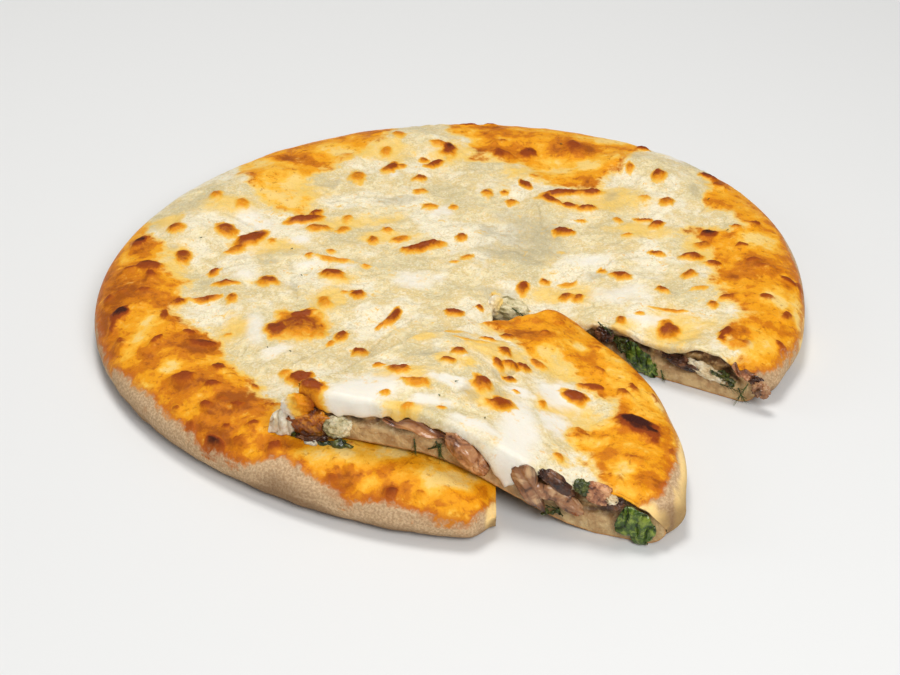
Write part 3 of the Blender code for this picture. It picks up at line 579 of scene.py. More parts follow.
def patch_of(x, y, which, marks, soft=0.7):
    total = np.zeros_like(x)
    for _mark, near, away, _above in nearness(x, y, which, marks, 0.4):
        total[near] = np.maximum(total[near], smooth((1.0 + soft / 2 - away) / soft))
    return total


def from_segment(x, y, a, b):
    """How far each plan point lies from a straight line between two places, in x and in y."""
    along = b - a
    share = np.clip(((x - a[0]) * along[0] + (y - a[1]) * along[1]) / (along @ along), 0, 1)
    return x - a[0] - share * along[0], y - a[1] - share * along[1]


def beyond_line(x, y, which, line):
    """How far each plan point lies outside a closed line of the photo; inside it the distance is negative."""
    places = from_photo(which, *zip(*line))
    nearest, inside = np.full_like(x, 1.0), np.zeros(x.shape, bool)
    for a, b in zip(places, np.roll(places, -1, 0)):
        along = b - a
        nearest = np.minimum(nearest, np.hypot(*from_segment(x, y, a, b)))
        crosses = (a[1] > y) != (b[1] > y)
        inside ^= crosses & (x < a[0] + (y - a[1]) / (along[1] if along[1] else 1e-9) * along[0])
    return np.where(inside, -nearest, nearest)


def crease_of(x, y, which, lines, width):
    """Nearness to the creases, 1 on a line and 0 beyond width."""
    total = np.zeros_like(x)
    wobble = waves(x, y, 4 * MM, 71, 2) * 0.7 * MM
    for line in lines:
        places = from_photo(which, *zip(*line))
        for a, b in zip(places, places[1:]):
            dx, dy = from_segment(x, y, a, b)
            total = np.maximum(total, smooth(1 - np.hypot(dx + wobble, dy + wobble) / width))
    return total


# Meshes


def grid_faces(rows, columns, offset=0, flip=False):
    """Quads over a grid of points kept row by row."""
    index = np.arange(rows * columns).reshape(rows, columns) + offset
    quads = np.stack((index[:-1, :-1], index[:-1, 1:], index[1:, 1:], index[1:, :-1]), -1).reshape(-1, 4)
    return quads[:, ::-1] if flip else quads


def make_mesh(name, points, faces, fields, material):
    """An object with a named material and a painted value for each point in every field."""
    mesh = bpy.data.meshes.new(name)
    mesh.from_pydata(points.tolist(), [], [list(map(int, f)) for f in faces])
    for field, values in fields.items():
        layer = mesh.attributes.new(field, "FLOAT", "POINT")
        layer.data.foreach_set("value", np.asarray(values, np.float32))
    bm = bmesh.new()
    bm.from_mesh(mesh)
    bmesh.ops.remove_doubles(bm, verts=bm.verts, dist=0.01 * MM)
    bmesh.ops.dissolve_degenerate(bm, edges=bm.edges, dist=0.005 * MM)
    bmesh.ops.recalc_face_normals(bm, faces=bm.faces)
    bm.to_mesh(mesh)
    bm.free()
    mesh.materials.append(LOOKS[material])
    mesh.shade_smooth()
    made = bpy.data.objects.new(name, mesh)
    bpy.context.scene.collection.objects.link(made)
    return made


def rays_to_rim(angles):
    """How far each ray from the cut's tip runs before it meets the rim."""
    low, high = (np.full_like(angles, reach) for reach in RIM_SOUGHT)
    for _step in range(40):
        middle = (low + high) / 2
        x = CUT_TIP[0] + middle * np.cos(angles)
        y = CUT_TIP[1] + middle * np.sin(angles)
        outside = inside_rim(x, y) < 0
        high = np.where(outside, middle, high)
        low = np.where(outside, low, middle)
    return low


def world_place(which, sx, sy, z):
    """A point of the whole bread, put where the bread or the slice has it."""
    if which == "slice":
        x, y = to_slice(sx, sy)
        return x, y, z * back_share(x, y) + sag(x, y)
    top = dough_height(sx, sy, False) + cheese_depth(sx, sy, False)
    return sx, sy, z * press_share(sx, sy, top)


def flour_edge(sx, sy):
    """How far inside the rim the floury side reaches, in each direction round the bread."""
    places = from_photo("bread", *zip(*FLOUR_LINE, *FLOUR_RIGHT))
    seen_at = np.degrees(np.arctan2(places[:, 1], places[:, 0])) % 360
    seen = np.clip(inside_rim(places[:, 0], places[:, 1]), 0, RIM_WIDTH)
    hidden_at, hidden = np.array(FLOUR_HIDDEN).T
    at, reach = np.concatenate((seen_at, hidden_at)), np.concatenate((seen, hidden * MM))
    order = np.argsort(at)
    return np.interp(np.degrees(np.arctan2(sy, sx)) % 360, at[order], reach[order], period=360)


def top_relief(x, y, crust, pool, rise, crease, grey):
    """Bumps of the cheese and the crust over the smooth top."""
    cheese = 1 - crust
    lumpy = waves(x, y, 10 * MM, 3, 3) * 0.8 * MM + waves(x, y, 3.4 * MM, 11, 2) * 0.35 * MM
    wrinkles = (0.35 - np.abs(waves(x, y, 6 * MM, 23, 3))) * 0.3 * MM
    relief = cheese * (1 - 0.85 * pool) * (lumpy + wrinkles) + cheese * pool * 0.6 * MM
    relief = relief + crust * (waves(x, y, 18 * MM, 5, 2) * 0.6 * MM + waves(x, y, 5 * MM, 9, 3) * 0.28 * MM)
    return relief + rise - crease * 0.8 * MM - grey * 0.3 * MM


def skin(name, which, start, end, columns, paint, lips, material):
    """The baked outside of the bread or the slice: top, side and underside, in one mesh with its lips."""
    angles = np.linspace(start, end, columns)
    reach = rays_to_rim(angles)
    inner = np.concatenate(([0.0], np.linspace(0.004, 1, 122 if which == "bread" else 165)))
    turns = np.linspace(0, math.pi / 2, 13)[1:]
    distance = [s * (reach - RIM_BAND) for s in inner] + [reach - RIM_BAND * (1 - np.sin(t)) for t in turns]
    distance = np.array(distance)
    x = CUT_TIP[0] + distance * np.cos(angles)
    y = CUT_TIP[1] + distance * np.sin(angles)
    inside = np.maximum(inside_rim(x, y), 0)
    wx, wy = (x, y) if which == "bread" else to_slice(x, y)

    toast_and_shade, rise = toast_and_shade_of(wx, wy, which, paint["spots"])
    grey = patch_of(wx, wy, which, paint["greys"], 1.1)
    crease = crease_of(wx, wy, which, paint["creases"], 1.1 * MM)
    # Broad darks and pales of the crust, among them painted shade and painted light.
    bake_and_shading = patch_of(wx, wy, which, paint["darks_and_shade"], 1.3) - patch_of(wx, wy, which, paint["pales_and_light"], 1.2)
    gold = patch_of(wx, wy, which, paint["golds"], 1.3)
    beyond = beyond_line(wx, wy, which, paint["cheese"])
    ragged = waves(x, y, 14 * MM, 61, 3) * 4 * MM + waves(x, y, 4 * MM, 67, 2) * 1.2 * MM
    crust = smooth((beyond + ragged) / (11 * MM) + 0.5)
    pool = patch_of(wx, wy, which, paint["pools"], 1.5) * (1 - crust) * (1.0 if which == "slice" else 0.75)
    relief = top_relief(wx, wy, crust, pool, rise, crease, grey) * smooth(inside / (7 * MM))
    z = dough_height(x, y) + cheese_depth(x, y) + relief - corner_drop(x, y)
    z = np.maximum(z, EQUATOR)
    flour = flour_edge(x, y) - inside
    if which == "slice":
        flour = flour + 3.5 * MM * smooth((math.radians(-66) - angles) / math.radians(14))

    # Side, from the widest point down to the foot, then the underside back to the tip.
    down = np.linspace(0, math.pi / 2, 11)[1:]
    bumps = waves(x[-1], y[-1], 7 * MM, 13, 2) * 0.5 * MM
    side_distance = np.array([reach - FOOT * (1 - np.cos(t)) + bumps * np.sin(2 * t) for t in down])
    side_z = np.array([np.full_like(reach, EQUATOR * (1 - np.sin(t))) for t in down])
    floor_shares = np.linspace(0.94, 0.0, 6 if which == "bread" else 22)
    floor_distance = np.array([(reach - FOOT) * s for s in floor_shares])
    low_distance = np.concatenate((side_distance, floor_distance))
    low_z = np.concatenate((side_z, np.zeros_like(floor_distance)))
    low_x = CUT_TIP[0] + low_distance * np.cos(angles)
    low_y = CUT_TIP[1] + low_distance * np.sin(angles)
    zero = np.zeros_like(low_x)
    all_x, all_y = np.concatenate((x, low_x)), np.concatenate((y, low_y))
    all_z = np.concatenate((z, low_z))
    # The flour value grows down the side; the material also paints shade from it, darker towards the foot.
    low_flour = zero + flour[-1] / (5 * MM) + 0.25 + (EQUATOR - low_z) / (6 * MM)
    painted = {
        "toast_and_shade": (toast_and_shade, zero), "crust": (crust, zero + 1), "pool": (pool, zero), "grey": (grey, zero),
        "crease": (crease, zero), "bake_and_shading": (bake_and_shading, zero + bake_and_shading[-1]), "gold": (gold, zero),
        "flour": (flour / (5 * MM), low_flour),
    }
    fields = {key: np.concatenate(parts) for key, parts in painted.items()}
    px, py, pz = world_place(which, all_x, all_y, all_z)
    rows = all_x.shape[0]
    points = [np.stack((px, py, pz), -1).reshape(-1, 3)]
    faces = [grid_faces(rows, columns)]
    values = {key: [field.ravel()] for key, field in fields.items()}
    count = rows * columns
    top_rows = x.shape[0]
    for column, outward, drop_of in lips:
        edge = px[:top_rows, column], py[:top_rows, column], pz[:top_rows, column]
        edge_fields = {key: field[:top_rows, column] for key, field in fields.items()}
        browned = which == "slice" and column == 0
        strip, strip_fields = lip_strip(edge, edge_fields, outward, drop_of, distance[:, column], browned)
        points.append(strip.reshape(-1, 3))
        faces.append(grid_faces(strip.shape[0], strip.shape[1], count, column == 0))
        for key in values:
            values[key].append(strip_fields[key].ravel())
        count += strip.shape[0] * strip.shape[1]
    return make_mesh(name, np.concatenate(points), np.concatenate(faces),
                     {key: np.concatenate(field) for key, field in values.items()}, material)


# A lip's section: shares of how far it bulges and of how far it hangs.
LIP_PROFILE = (
    (0, 0), (0.4, 0.02), (0.75, 0.1), (0.97, 0.26), (1.0, 0.48), (0.95, 0.7), (0.8, 0.87), (0.5, 0.97),
    (0.1, 1.0),
)


def lip_strip(edge, fields, outward, drop_of, along, tip_browned):
    """The melted edge that turns over one cut, as a strip that starts on the skin's own edge points."""
    drop, bulge = drop_of(along)
    x0, y0, z0 = edge
    strip = []
    for out, down in LIP_PROFILE:
        ripple = 1 + 0.16 * waves(along, along * 0 + down * 6 * MM, 5 * MM, 91, 2)
        x = x0 + outward[0] * bulge * out * ripple
        y = y0 + outward[1] * bulge * out * ripple
        strip.append(np.stack((x, y, z0 - drop * down), -1))
    spread = {key: np.repeat(field[:, None], len(LIP_PROFILE), 1) for key, field in fields.items()}
    fade = np.linspace(1, 0.0, len(LIP_PROFILE))[None, :]
    spread["toast_and_shade"] = spread["toast_and_shade"] * fade
    if tip_browned:
        browned = smooth(1.15 - along / (13 * MM))[:, None] * smooth(1.5 - 1.6 * fade)
        spread["toast_and_shade"] = np.maximum(spread["toast_and_shade"], 0.9 * browned)
    return np.stack(strip, 1), spread


def lip_rule(side, table):
    """How far a lip hangs and how far it bulges, along one cut."""
    def rule(along):
        mm = along / MM
        drop = np.interp(mm, *zip(*table)) * MM
        drop = drop * (1 + 0.3 * waves(along, along * 0 + side, 6 * MM, 83, 2))
        bulge = np.where(drop > 1 * MM, np.minimum(0.5 * MM + 0.35 * drop, 2.6 * MM), 0.35 * drop)
        return drop, bulge
    return rule


def wall(name, which, direction, outward_turn, columns, rows, material, seed):
    """One cut face: a relief of bread, filling and the soft edge between them."""
    reach = float(rays_to_rim(np.array([direction]))[0])
    near_rim = reach - RIM_BAND * (1 - np.sin(np.linspace(0, math.pi / 2, 18)))
    along = np.concatenate((np.linspace(0, reach - RIM_BAND, columns), near_rim[1:]))
    columns = len(along)
    sx = CUT_TIP[0] + along * math.cos(direction)
    sy = CUT_TIP[1] + along * math.sin(direction)
    inset = reach - along
    top = dough_height(sx, sy) + cheese_depth(sx, sy) - 0.2 * MM - corner_drop(sx, sy)
    lowest = np.where(inset < FOOT, EQUATOR - np.sqrt(np.maximum(FOOT**2 - (FOOT - inset) ** 2, 0)), 0)
    top = np.maximum(top, lowest + 0.05 * MM)
    share = np.linspace(0, 1, rows)[:, None]
    z = lowest + share * (top - lowest)
    a = np.broadcast_to(along, z.shape)
    ragged = waves(a, z, 6 * MM, seed, 2)
    roof = dough_height(sx, sy, False) - TOP_DOUGH * 0.5 + ragged * 0.9 * MM
    floor = FILLING_LOW + 3.0 * MM + waves(a, z * 0 + seed, 13 * MM, seed + 3, 2) * 1.6 * MM
    end = FILLING_INSET * 0.75 + waves(z, a * 0, 5 * MM, seed + 5, 2) * MM
    depth = np.minimum(np.minimum(z - floor, roof - z), (inset[None, :] - end) * 0.8)
    filled = smooth(depth / (2.2 * MM) + 0.25)
    lumps = waves(a, z * 1.6, 6 * MM, seed + 7, 3)
    pores = waves(a, z, 1.8 * MM, seed + 9, 2)
    out = -filled * (1.8 * MM - lumps * 1.5 * MM) + (1 - filled) * (pores * 0.12 * MM + ragged * 0.25 * MM)
    out = out - smooth((z - top + 1.5 * MM) / (1.5 * MM)) * 0.5 * MM * (inset > 12 * MM)
    cheese = smooth((z - dough_height(sx, sy, False) + 0.2 * MM) / (0.6 * MM))
    cheese = cheese * smooth((inset - cheese_inset(np.arctan2(sy, sx))) / (4 * MM))
    rim = smooth(1 - np.minimum(np.minimum(z - lowest, top - z) / (1.1 * MM), (inset[None, :] / (2 * MM))))
    normal = direction + outward_turn
    x = sx + out * math.cos(normal)
    y = sy + out * math.sin(normal)
    px, py, pz = world_place(which, x, y, z)
    points = np.stack((px, py, pz), -1).reshape(-1, 3)
    # How far up the filling each point lies; the material paints more shade higher up, under the top dough.
    shade = smooth((z - floor) / np.maximum(roof - floor, 1 * MM))
    fields = {"filled": filled, "cheese": cheese, "rim": rim, "lumps": lumps, "shade": shade}
    fields = {key: field.ravel() for key, field in fields.items()}
    return make_mesh(name, points, grid_faces(rows, columns), fields, material)


# Materials


def srgb(red, green, blue):
    """A linear colour from screen values out of 255."""
    screen = (red / 255, green / 255, blue / 255)
    return tuple(v / 12.92 if v <= 0.04045 else ((v + 0.055) / 1.055) ** 2.4 for v in screen)


CREAM = srgb(228, 203, 144)
IVORY = srgb(238, 222, 176)
WHITE = srgb(247, 239, 214)
POOL = srgb(241, 235, 221)
GREYGREEN = srgb(204, 190, 152)
THIN_CHEESE = srgb(206, 192, 148)
STRAND = srgb(184, 168, 122)
SAND = srgb(206, 176, 112)
SEEN_THROUGH_AND_SHADE = srgb(176, 166, 138)
CREASE_SHADE = srgb(160, 144, 104)
BUTTER = srgb(242, 200, 98)
HONEY = srgb(234, 172, 54)
HALO = srgb(238, 186, 72)
STRAW = srgb(244, 206, 120)
PALE_CRUST = srgb(248, 188, 62)
GOLD = srgb(238, 158, 16)
AMBER = srgb(208, 120, 4)
BROWN = srgb(154, 76, 2)
TOAST = srgb(228, 144, 14)
TOASTED_CRUST = srgb(192, 100, 4)
DARK = srgb(146, 62, 4)
BURNT = srgb(60, 18, 6)
FLOUR = srgb(216, 184, 144)
FLOUR_DARK = srgb(184, 150, 112)
FLOUR_TAN = srgb(184, 130, 84)
FLOUR_PALE = srgb(252, 214, 142)
FLOUR_LOW_SHADE = srgb(122, 90, 60)
CRUST_END = srgb(190, 98, 26)
CRUMB = srgb(216, 184, 130)
CRUMB_DARK = srgb(176, 136, 88)
CRUMB_LIGHT = srgb(232, 210, 170)
CRUMB_RIM = srgb(196, 128, 56)
FILLING = srgb(190, 154, 102)
FILLING_DARK = srgb(148, 108, 66)
FILLING_LIGHT = srgb(214, 192, 144)
FILLING_GAP_SHADE = srgb(78, 48, 30)


class Signal:
    """A value or a colour in a material. Signals add, subtract, multiply and step by adding nodes."""

    def __init__(self, look, socket):
        self.look, self.socket = look, socket

    def math(self, kind, a, b=0.0):
        return self.look.node("Math", 0, {0: a, 1: b}, operation=kind)

    def __add__(self, other):
        return self.math("ADD", self, other)

    def __sub__(self, other):
        return self.math("SUBTRACT", self, other)

    def __rsub__(self, other):
        return self.math("SUBTRACT", other, self)

    def __mul__(self, other):
        return self.math("MULTIPLY", self, other)

    def __abs__(self):
        return self.math("ABSOLUTE", self)

    def below_zero(self):
        return self.math("MINIMUM", self, 0.0)

    def wave(self, strength):
        """Noise round 0 rather than round a half."""
        return (self - 0.5) * strength

    def step(self, low, high, top=1.0, bottom=0.0):
        """An easy step from bottom, where the signal is low, to top, where it is high."""
        inputs = {"Value": self, "From Min": low, "From Max": high, "To Min": bottom, "To Max": top}
        return self.look.node("MapRange", "Result", inputs, interpolation_type="SMOOTHSTEP")


# The materials by the names given here. Blender may number them, because the solids have some of the names.
LOOKS = {}


class Look:
    """One material and the nodes that it is built from."""

    def __init__(self, name):
        self.material = LOOKS[name] = bpy.data.materials.new(name)
        self.material.use_nodes = True
        self.tree = self.material.node_tree
        self.body = self.tree.nodes["Principled BSDF"]
        self.where = None

    def feed(self, socket, value):
        """Links a socket to a signal, or sets a plain value."""
        if isinstance(value, Signal):
            self.tree.links.new(value.socket, socket)
        elif isinstance(value, tuple) and socket.type == "RGBA":
            socket.default_value = (*value, 1)
        else:
            socket.default_value = value

    def node(self, kind, output, inputs, **settings):
        made = self.tree.nodes.new("ShaderNode" + kind)
        for key, value in settings.items():
            setattr(made, key, value)
        for key, value in inputs.items():
            self.feed(made.inputs[key], value)
        return Signal(self, made.outputs[output])

    def grain(self, size, detail=3.0, rough=0.6, warp=0.0):
        """Noise from 0 to 1, with lumps of about this size."""
        if not self.where:
            self.where = self.node("TexCoord", "Object", {})
        inputs = {"Vector": self.where, "Scale": 1 / size, "Detail": detail}
        return self.node("TexNoise", "Fac", {**inputs, "Roughness": rough, "Distortion": warp})

    def field(self, name):
        return self.node("Attribute", "Fac", {}, attribute_name=name)

    def layers(self, base, rows):
        """Lays colours over a base, each one by its share."""
        for share, colour in rows:
            base = self.node("Mix", 2, {0: share, 6: base, 7: colour}, data_type="RGBA")
        return base

    def surface(self, scatter, depth, *bumps, **values):
        """Sets the shader's values, a little scattering, and bumps of so many metres each."""
        for key, value in values.items():
            self.feed(self.body.inputs[key.replace("_", " ")], value)
        self.body.inputs["Subsurface Weight"].default_value = 0.1
        self.body.inputs["Subsurface Radius"].default_value = scatter
        self.body.inputs["Subsurface Scale"].default_value = depth
        normal = {}
        for height, rise in bumps:
            inputs = {"Strength": 1.0, "Distance": rise, "Height": height, **normal}
            normal = {"Normal": self.node("Bump", "Normal", inputs)}
        self.feed(self.body.inputs["Normal"], normal["Normal"])
        return self.material


def baked_material():
    """The outside: cheese, crust, browned spots and flour, told apart by the skin's attributes."""
    look = Look("baked_top")
    large, medium = look.grain(24 * MM), look.grain(8 * MM, 4, 0.62, 0.3)
    small, fine = look.grain(2.6 * MM, 4, 0.62, 0.5), look.grain(0.9 * MM)
    bake_and_shading, flour, pool = look.field("bake_and_shading"), look.field("flour"), look.field("pool")

    # Cheese: cream and ivory in patches, whiter pools, greyish see-through places, one of them also painted
    # shade, golden thin places, and white specks of painted highlight.
    golden = look.field("gold") + medium.wave(1.6) + small.wave(0.8)
    greyness = look.field("grey") + medium.wave(1.4) + small.wave(1.2)
    cheese = look.layers(CREAM, (
        (medium.step(0.4, 0.62), IVORY),
        (small.step(0.47, 0.32, 0.45), GREYGREEN),
        (small.step(0.52, 0.66, 0.6), WHITE),
        (large.step(0.5, 0.6, 0.7), WHITE),
        (large.step(0.48, 0.38, 0.6), THIN_CHEESE),
        (abs(medium - 0.5).step(0.03, 0.0, 0.4), STRAND),
        (fine.step(0.5, 0.34, 0.3), SAND),
        # White specks on the tops of the finest bumps are painted highlights.
        (fine.step(0.52, 0.66, 0.45), WHITE),
        (golden.step(0.15, 1.1, 0.85), BUTTER),
        (small.step(0.6, 0.7) * large.step(0.47, 0.6) * 0.7, HONEY),
        ((pool + small.wave(0.4)).step(0.12, 1.0, 0.92), POOL),
        # Grey see-through cheese, and painted shade in the hollow at the cut's tip.
        (greyness.step(0.25, 1.4, 0.62), SEEN_THROUGH_AND_SHADE),
        # Creases painted darker: painted shade.
        (look.field("crease") * 0.35, CREASE_SHADE),
    ))

    # Crust: gold mottled with amber and brown, in tongues, small freckles and broad patches, some painted
    # light and shade.
    depth = bake_and_shading * 0.27 + large.wave(0.9) + bake_and_shading.below_zero() * 0.12 + medium.wave(1.15) + small.wave(0.35)
    crust = look.layers(PALE_CRUST, (
        (depth.step(-0.34, -0.06), GOLD),
        (depth.step(-0.06, 0.14), AMBER),
        (depth.step(0.14, 0.4, 0.9), BROWN),
        (depth.step(-0.3, -0.52), STRAW),
        (small.step(0.58, 0.68) * 0.45, BROWN),
    ))

    # The floury side, with painted shade darkening it towards the bottom.
    speckle = look.layers(FLOUR_DARK, (
        (fine.step(0.36, 0.66), FLOUR),
        (medium.step(0.55, 0.78, 0.5), FLOUR_TAN),
        (bake_and_shading.step(-0.15, -0.8), FLOUR_PALE),
        (flour.step(0.6, 1.9, 0.75), FLOUR_LOW_SHADE),
    ))
    reach = flour + small.wave(1.0) + medium.wave(1.2)
    floury = reach.step(-0.1, 0.35)

    # Browned spots, painted darker on their far sides as shade: a golden halo on the cheese only, then orange,
    # brown and dark.
    edge = look.field("crust") + small.wave(0.8) + medium.wave(1.3)
    on_crust = edge.step(0.5, 0.9)
    toast_and_shade = look.field("toast_and_shade") + small.wave(0.5) + medium.wave(0.35)
    colour = look.layers(cheese, (
        (edge.step(0.1, 0.55, 0.9), BUTTER),
        (edge.step(0.4, 0.85), crust),
        (toast_and_shade.step(0.03, 0.26) * edge.step(0.7, 0.3), HALO),
        (toast_and_shade.step(0.24, on_crust * 0.3 + 0.46), look.layers(TOAST, ((on_crust, TOASTED_CRUST),))),
        (toast_and_shade.step(0.42, 0.78), DARK),
        (toast_and_shade.step(0.84, 1.2), BURNT),
        (reach.step(-0.6, 0.0, 0.65), CRUST_END),
        (floury, speckle),
    ))
    rough = look.field("crust").step(0.2, 0.8, 0.52, 0.33) + toast_and_shade.step(0.2, 0.5, 0.12)
    calm = 1.0 - pool * 0.85
    return look.surface(
        (1.0, 0.7, 0.4), 2 * MM, (small * calm, 0.6 * MM), (fine * calm, 0.22 * MM),
        Base_Color=colour, Roughness=rough + floury * 0.4, Specular_IOR_Level=0.17)


def cut_material():
    """The cut faces: crumb round the edge, and the filling with painted shade in its gaps."""
    look = Look("cut_face")
    medium, small, fine = look.grain(5 * MM, 4), look.grain(1.8 * MM, warp=0.4), look.grain(0.6 * MM)
    filled = look.field("filled")
    rim = look.field("rim") + small.wave(0.8)
    crumb = look.layers(CRUMB, (
        (medium.step(0.35, 0.65), CRUMB_DARK),
        (small.step(0.55, 0.75, 0.4), CRUMB_LIGHT),
        (rim.step(0.35, 0.9, 0.75), CRUMB_RIM),
    ))
    # Painted shade: the gaps between sunken lumps go dark, more of them higher up under the top dough.
    low = look.field("lumps") + small.wave(1.0) - look.field("shade") * 0.35
    filling = look.layers(FILLING, (
        (medium.step(0.38, 0.6), FILLING_DARK),
        (small.step(0.54, 0.68, 0.6), FILLING_LIGHT),
        (low.step(0.0, -0.7, 0.9), FILLING_GAP_SHADE),
    ))
    colour = look.layers(crumb, ((filled, filling), (look.field("cheese"), IVORY)))
    return look.surface(
        (1.0, 0.6, 0.35), 3 * MM, (small, 0.7 * MM), (fine, 0.15 * MM),
        Base_Color=colour, Roughness=filled.step(0.0, 1.0, 0.32, 0.55))


def piece_material(name, light, middle, dark, roughness, size, depth=0.5 * MM, mottle=0.6):
    """A moist chunk in three tones that run into each other; its dark attribute adds gills, veins and painted
    shade.
    """
    look = Look(name)
    broad, small = look.grain(size, warp=0.6), look.grain(size * 0.25, warp=0.4)
    light, middle, dark = srgb(*light), srgb(*middle), srgb(*dark)
    colour = look.layers(light, (
        (broad.step(0.36, 0.52), middle),
        (broad.step(0.52, 0.68), dark),
        (small.step(0.52, 0.72, mottle), dark),
        (small.step(0.44, 0.3, mottle * 0.8), light),
        (look.field("dark") * 0.9, dark),
    ))
    return look.surface((1.0, 0.6, 0.4), 2 * MM, (small, depth), Base_Color=colour, Roughness=roughness)


# The pieces at the cuts


def at_cut(which, along, height, out):
    """A point given from the tip of a cut: along it, up from the food's underside and out of its face."""
    start, direction = SHOWN_CUTS[which]
    ahead, outwards = heading(direction), heading(direction - math.pi / 2)
    x, y = (start[i] + along * ahead[i] + out * outwards[i] for i in (0, 1))
    return x, y, height + (sag(x, y) if which == "slice" else 0)


def settle(x, y, z):
    """Keeps a piece above the table and above the bread that it lies on."""
    return np.maximum(z, np.maximum(plain_top("bread", x, y), 0) + CLEAR)


def on_cut(which, spot, a, h, o):
    """Carries a piece's own coordinates onto a cut, round the photo's spot = (across, down, out in mm)."""
    along, height = cut_pixel(which, spot[0], spot[1], spot[2] * MM)
    x, y, z = at_cut(which, along + a, height + h, spot[2] * MM + o)
    return np.stack((x, y, settle(x, y, z) if which == "slice" else np.maximum(z, CLEAR)), -1)


def turned(u, v, degrees):
    c, s = heading(math.radians(degrees))
    return u * c - v * s, u * s + v * c


def sheet_grid(rows, columns):
    """Coordinates from -1 to 1 along a sheet and across it."""
    return np.meshgrid(np.linspace(-1, 1, columns), np.linspace(-1, 1, rows))


def chunk(name, which, spot, size, lean, material, seed, rough=0.35, fine=0.1, boxy=1.0, fields=None):
    """A lumpy piece, shaped by folds of noise. Size is in millimetres along the cut, out of it and up."""
    bm = bmesh.new()
    bmesh.ops.create_icosphere(bm, subdivisions=5, radius=1)
    units = []
    for vertex in bm.verts:
        p = vertex.co.copy()
        shift = Vector((seed * 1.3, seed * 0.7, 0))
        folds = abs(noise.noise(p * 1.6 + shift)) * 2 - 0.4
        dents = abs(noise.noise(p * 3.6 - shift)) - 0.2
        grit = noise.fractal(p * 5 + shift, 0.8, 2.0, 3)
        r = 1 - rough * folds - 0.5 * rough * dents + fine * grit
        p = Vector([math.copysign(abs(c) ** boxy, c) for c in p]) if boxy != 1 else p
        units.append(p * r)
    faces = [[v.index for v in f.verts] for f in bm.faces]
    bm.free()
    unit = np.array([tuple(u) for u in units])
    a, h = turned(unit[:, 0] * size[0] / 2 * MM, unit[:, 2] * size[2] / 2 * MM, lean)
    points = on_cut(which, spot, a, h, unit[:, 1] * size[1] / 2 * MM)
    made = {key: rule(unit) * np.ones(len(unit)) for key, rule in (fields or {}).items()}
    return make_mesh(name, points, faces, made, material)


def sheet_mesh(name, which, spot, layers, material, thick):
    """Thin closed sheets in one mesh. Each layer holds grids along, up and out, and a grid of darkness."""
    points, faces, dark, count = [], [], [], 0
    for a, h, o, shade in layers:
        rows, columns = a.shape
        n = rows * columns
        for side in (-0.5, 0.5):
            points.append(on_cut(which, spot, a.ravel(), h.ravel(), o.ravel() + side * thick * MM))
            dark.append(shade.ravel())
        faces += grid_faces(rows, columns, count).tolist()
        faces += grid_faces(rows, columns, count + n, True).tolist()
        loop = list(range(columns)) + [columns - 1 + columns * j for j in range(1, rows)]
        loop += [n - 1 - i for i in range(1, columns)] + [columns * j for j in range(rows - 2, 0, -1)]
        loop = [p + count for p in loop]
        faces += [(p, q, q + n, p + n) for p, q in zip(loop, loop[1:] + loop[:1])]
        count += 2 * n
    return make_mesh(name, np.concatenate(points), faces, {"dark": np.concatenate(dark)}, material)


def wilted(name, which, spot, length, tall, lean, material, seed, strips):
    """Cooked leaves: several folded strips that lie over each other."""
    own = np.random.default_rng(seed)
    u, v = sheet_grid(13, 40)
    layers = []
    for k in range(strips):
        long = length * own.uniform(0.28, 0.5) * MM
        wide = tall * own.uniform(0.16, 0.28) * MM
        curl, side = own.uniform(0.9, 2.0), own.choice((-1, 1))
        width = wide * np.sqrt(np.maximum(1.03 - u**2, 0)) * (1 + 0.25 * np.sin(6 * u + seed + k))
        a = long * u + 0.12 * long * np.sin(2.4 * u + k * 2)
        h = width * np.sin(v * curl) / curl + 0.18 * tall * MM * np.sin(2.6 * u + 2 * k)
        o = side * width * (1 - np.cos(v * curl)) / curl + 0.5 * MM * np.sin(5 * u + 2 * k + v)
        o = o + waves(u * 3 + k * 7, v * 2, 0.8, seed, 3) * 0.5 * MM + (k - strips / 2) * 0.3 * MM
        a, h = turned(a, h, own.uniform(-38, 38))
        a = a + own.uniform(-0.24, 0.24) * length * MM
        h = h + own.uniform(-0.26, 0.26) * tall * MM
        a, h = turned(a, h, lean)
        shade = 0.5 * smooth(1 - np.abs(v) * 5) + 0.35 * np.abs(np.sin(11 * u + 4 * np.abs(v)))
        layers.append((a, h, o, shade))
    return sheet_mesh(name, which, spot, layers, material, 0.3)


def crumpled(name, which, spot, wide, tall, lean, material, seed, blades=3):
    """Broad wet leaves, folded lengthwise and pressed together, with painted shade in the valleys of the
    folds.
    """
    u, v = sheet_grid(24, 60)
    layers = []
    for k in range(blades):
        share = 1 - 0.16 * k
        width = np.maximum(1.02 - np.abs(u) ** 2.6, 0) ** 0.6 * (1 + 0.12 * np.sin(5 * u + seed + k))
        a = (u + 0.1 * np.sin(3 * v + seed + k)) * wide / 2 * share * MM
        h = (v * width + 0.1 * np.sin(4 * u + 2 * k)) * tall / 2 * share * MM
        fold = np.sin(u * 4.6 + v * 1.3 + seed + 2.1 * k + 0.6 * np.sin(3 * v + k))
        o = (1 - 0.7 * u**2 - 0.5 * v**2) * 1.5 * MM + np.abs(fold) ** 0.6 * 1.5 * MM - 0.5 * k * MM
        o = o + waves(a + k * MM, h, 3 * MM, int(seed) + k, 2) * 0.5 * MM
        a, h = turned(a, h, lean + 24 * (k - (blades - 1) / 2))
        # Painted shade: darker along the valleys of the folds, so the ridges read lit.
        shade = smooth(1 - np.abs(fold) * 2.2) * 0.9 + 0.2 * np.abs(np.sin(9 * v + 4 * u))
        layers.append((a, h - 0.7 * k * MM, o, shade))
    return sheet_mesh(name, which, spot, layers, material, 0.3)


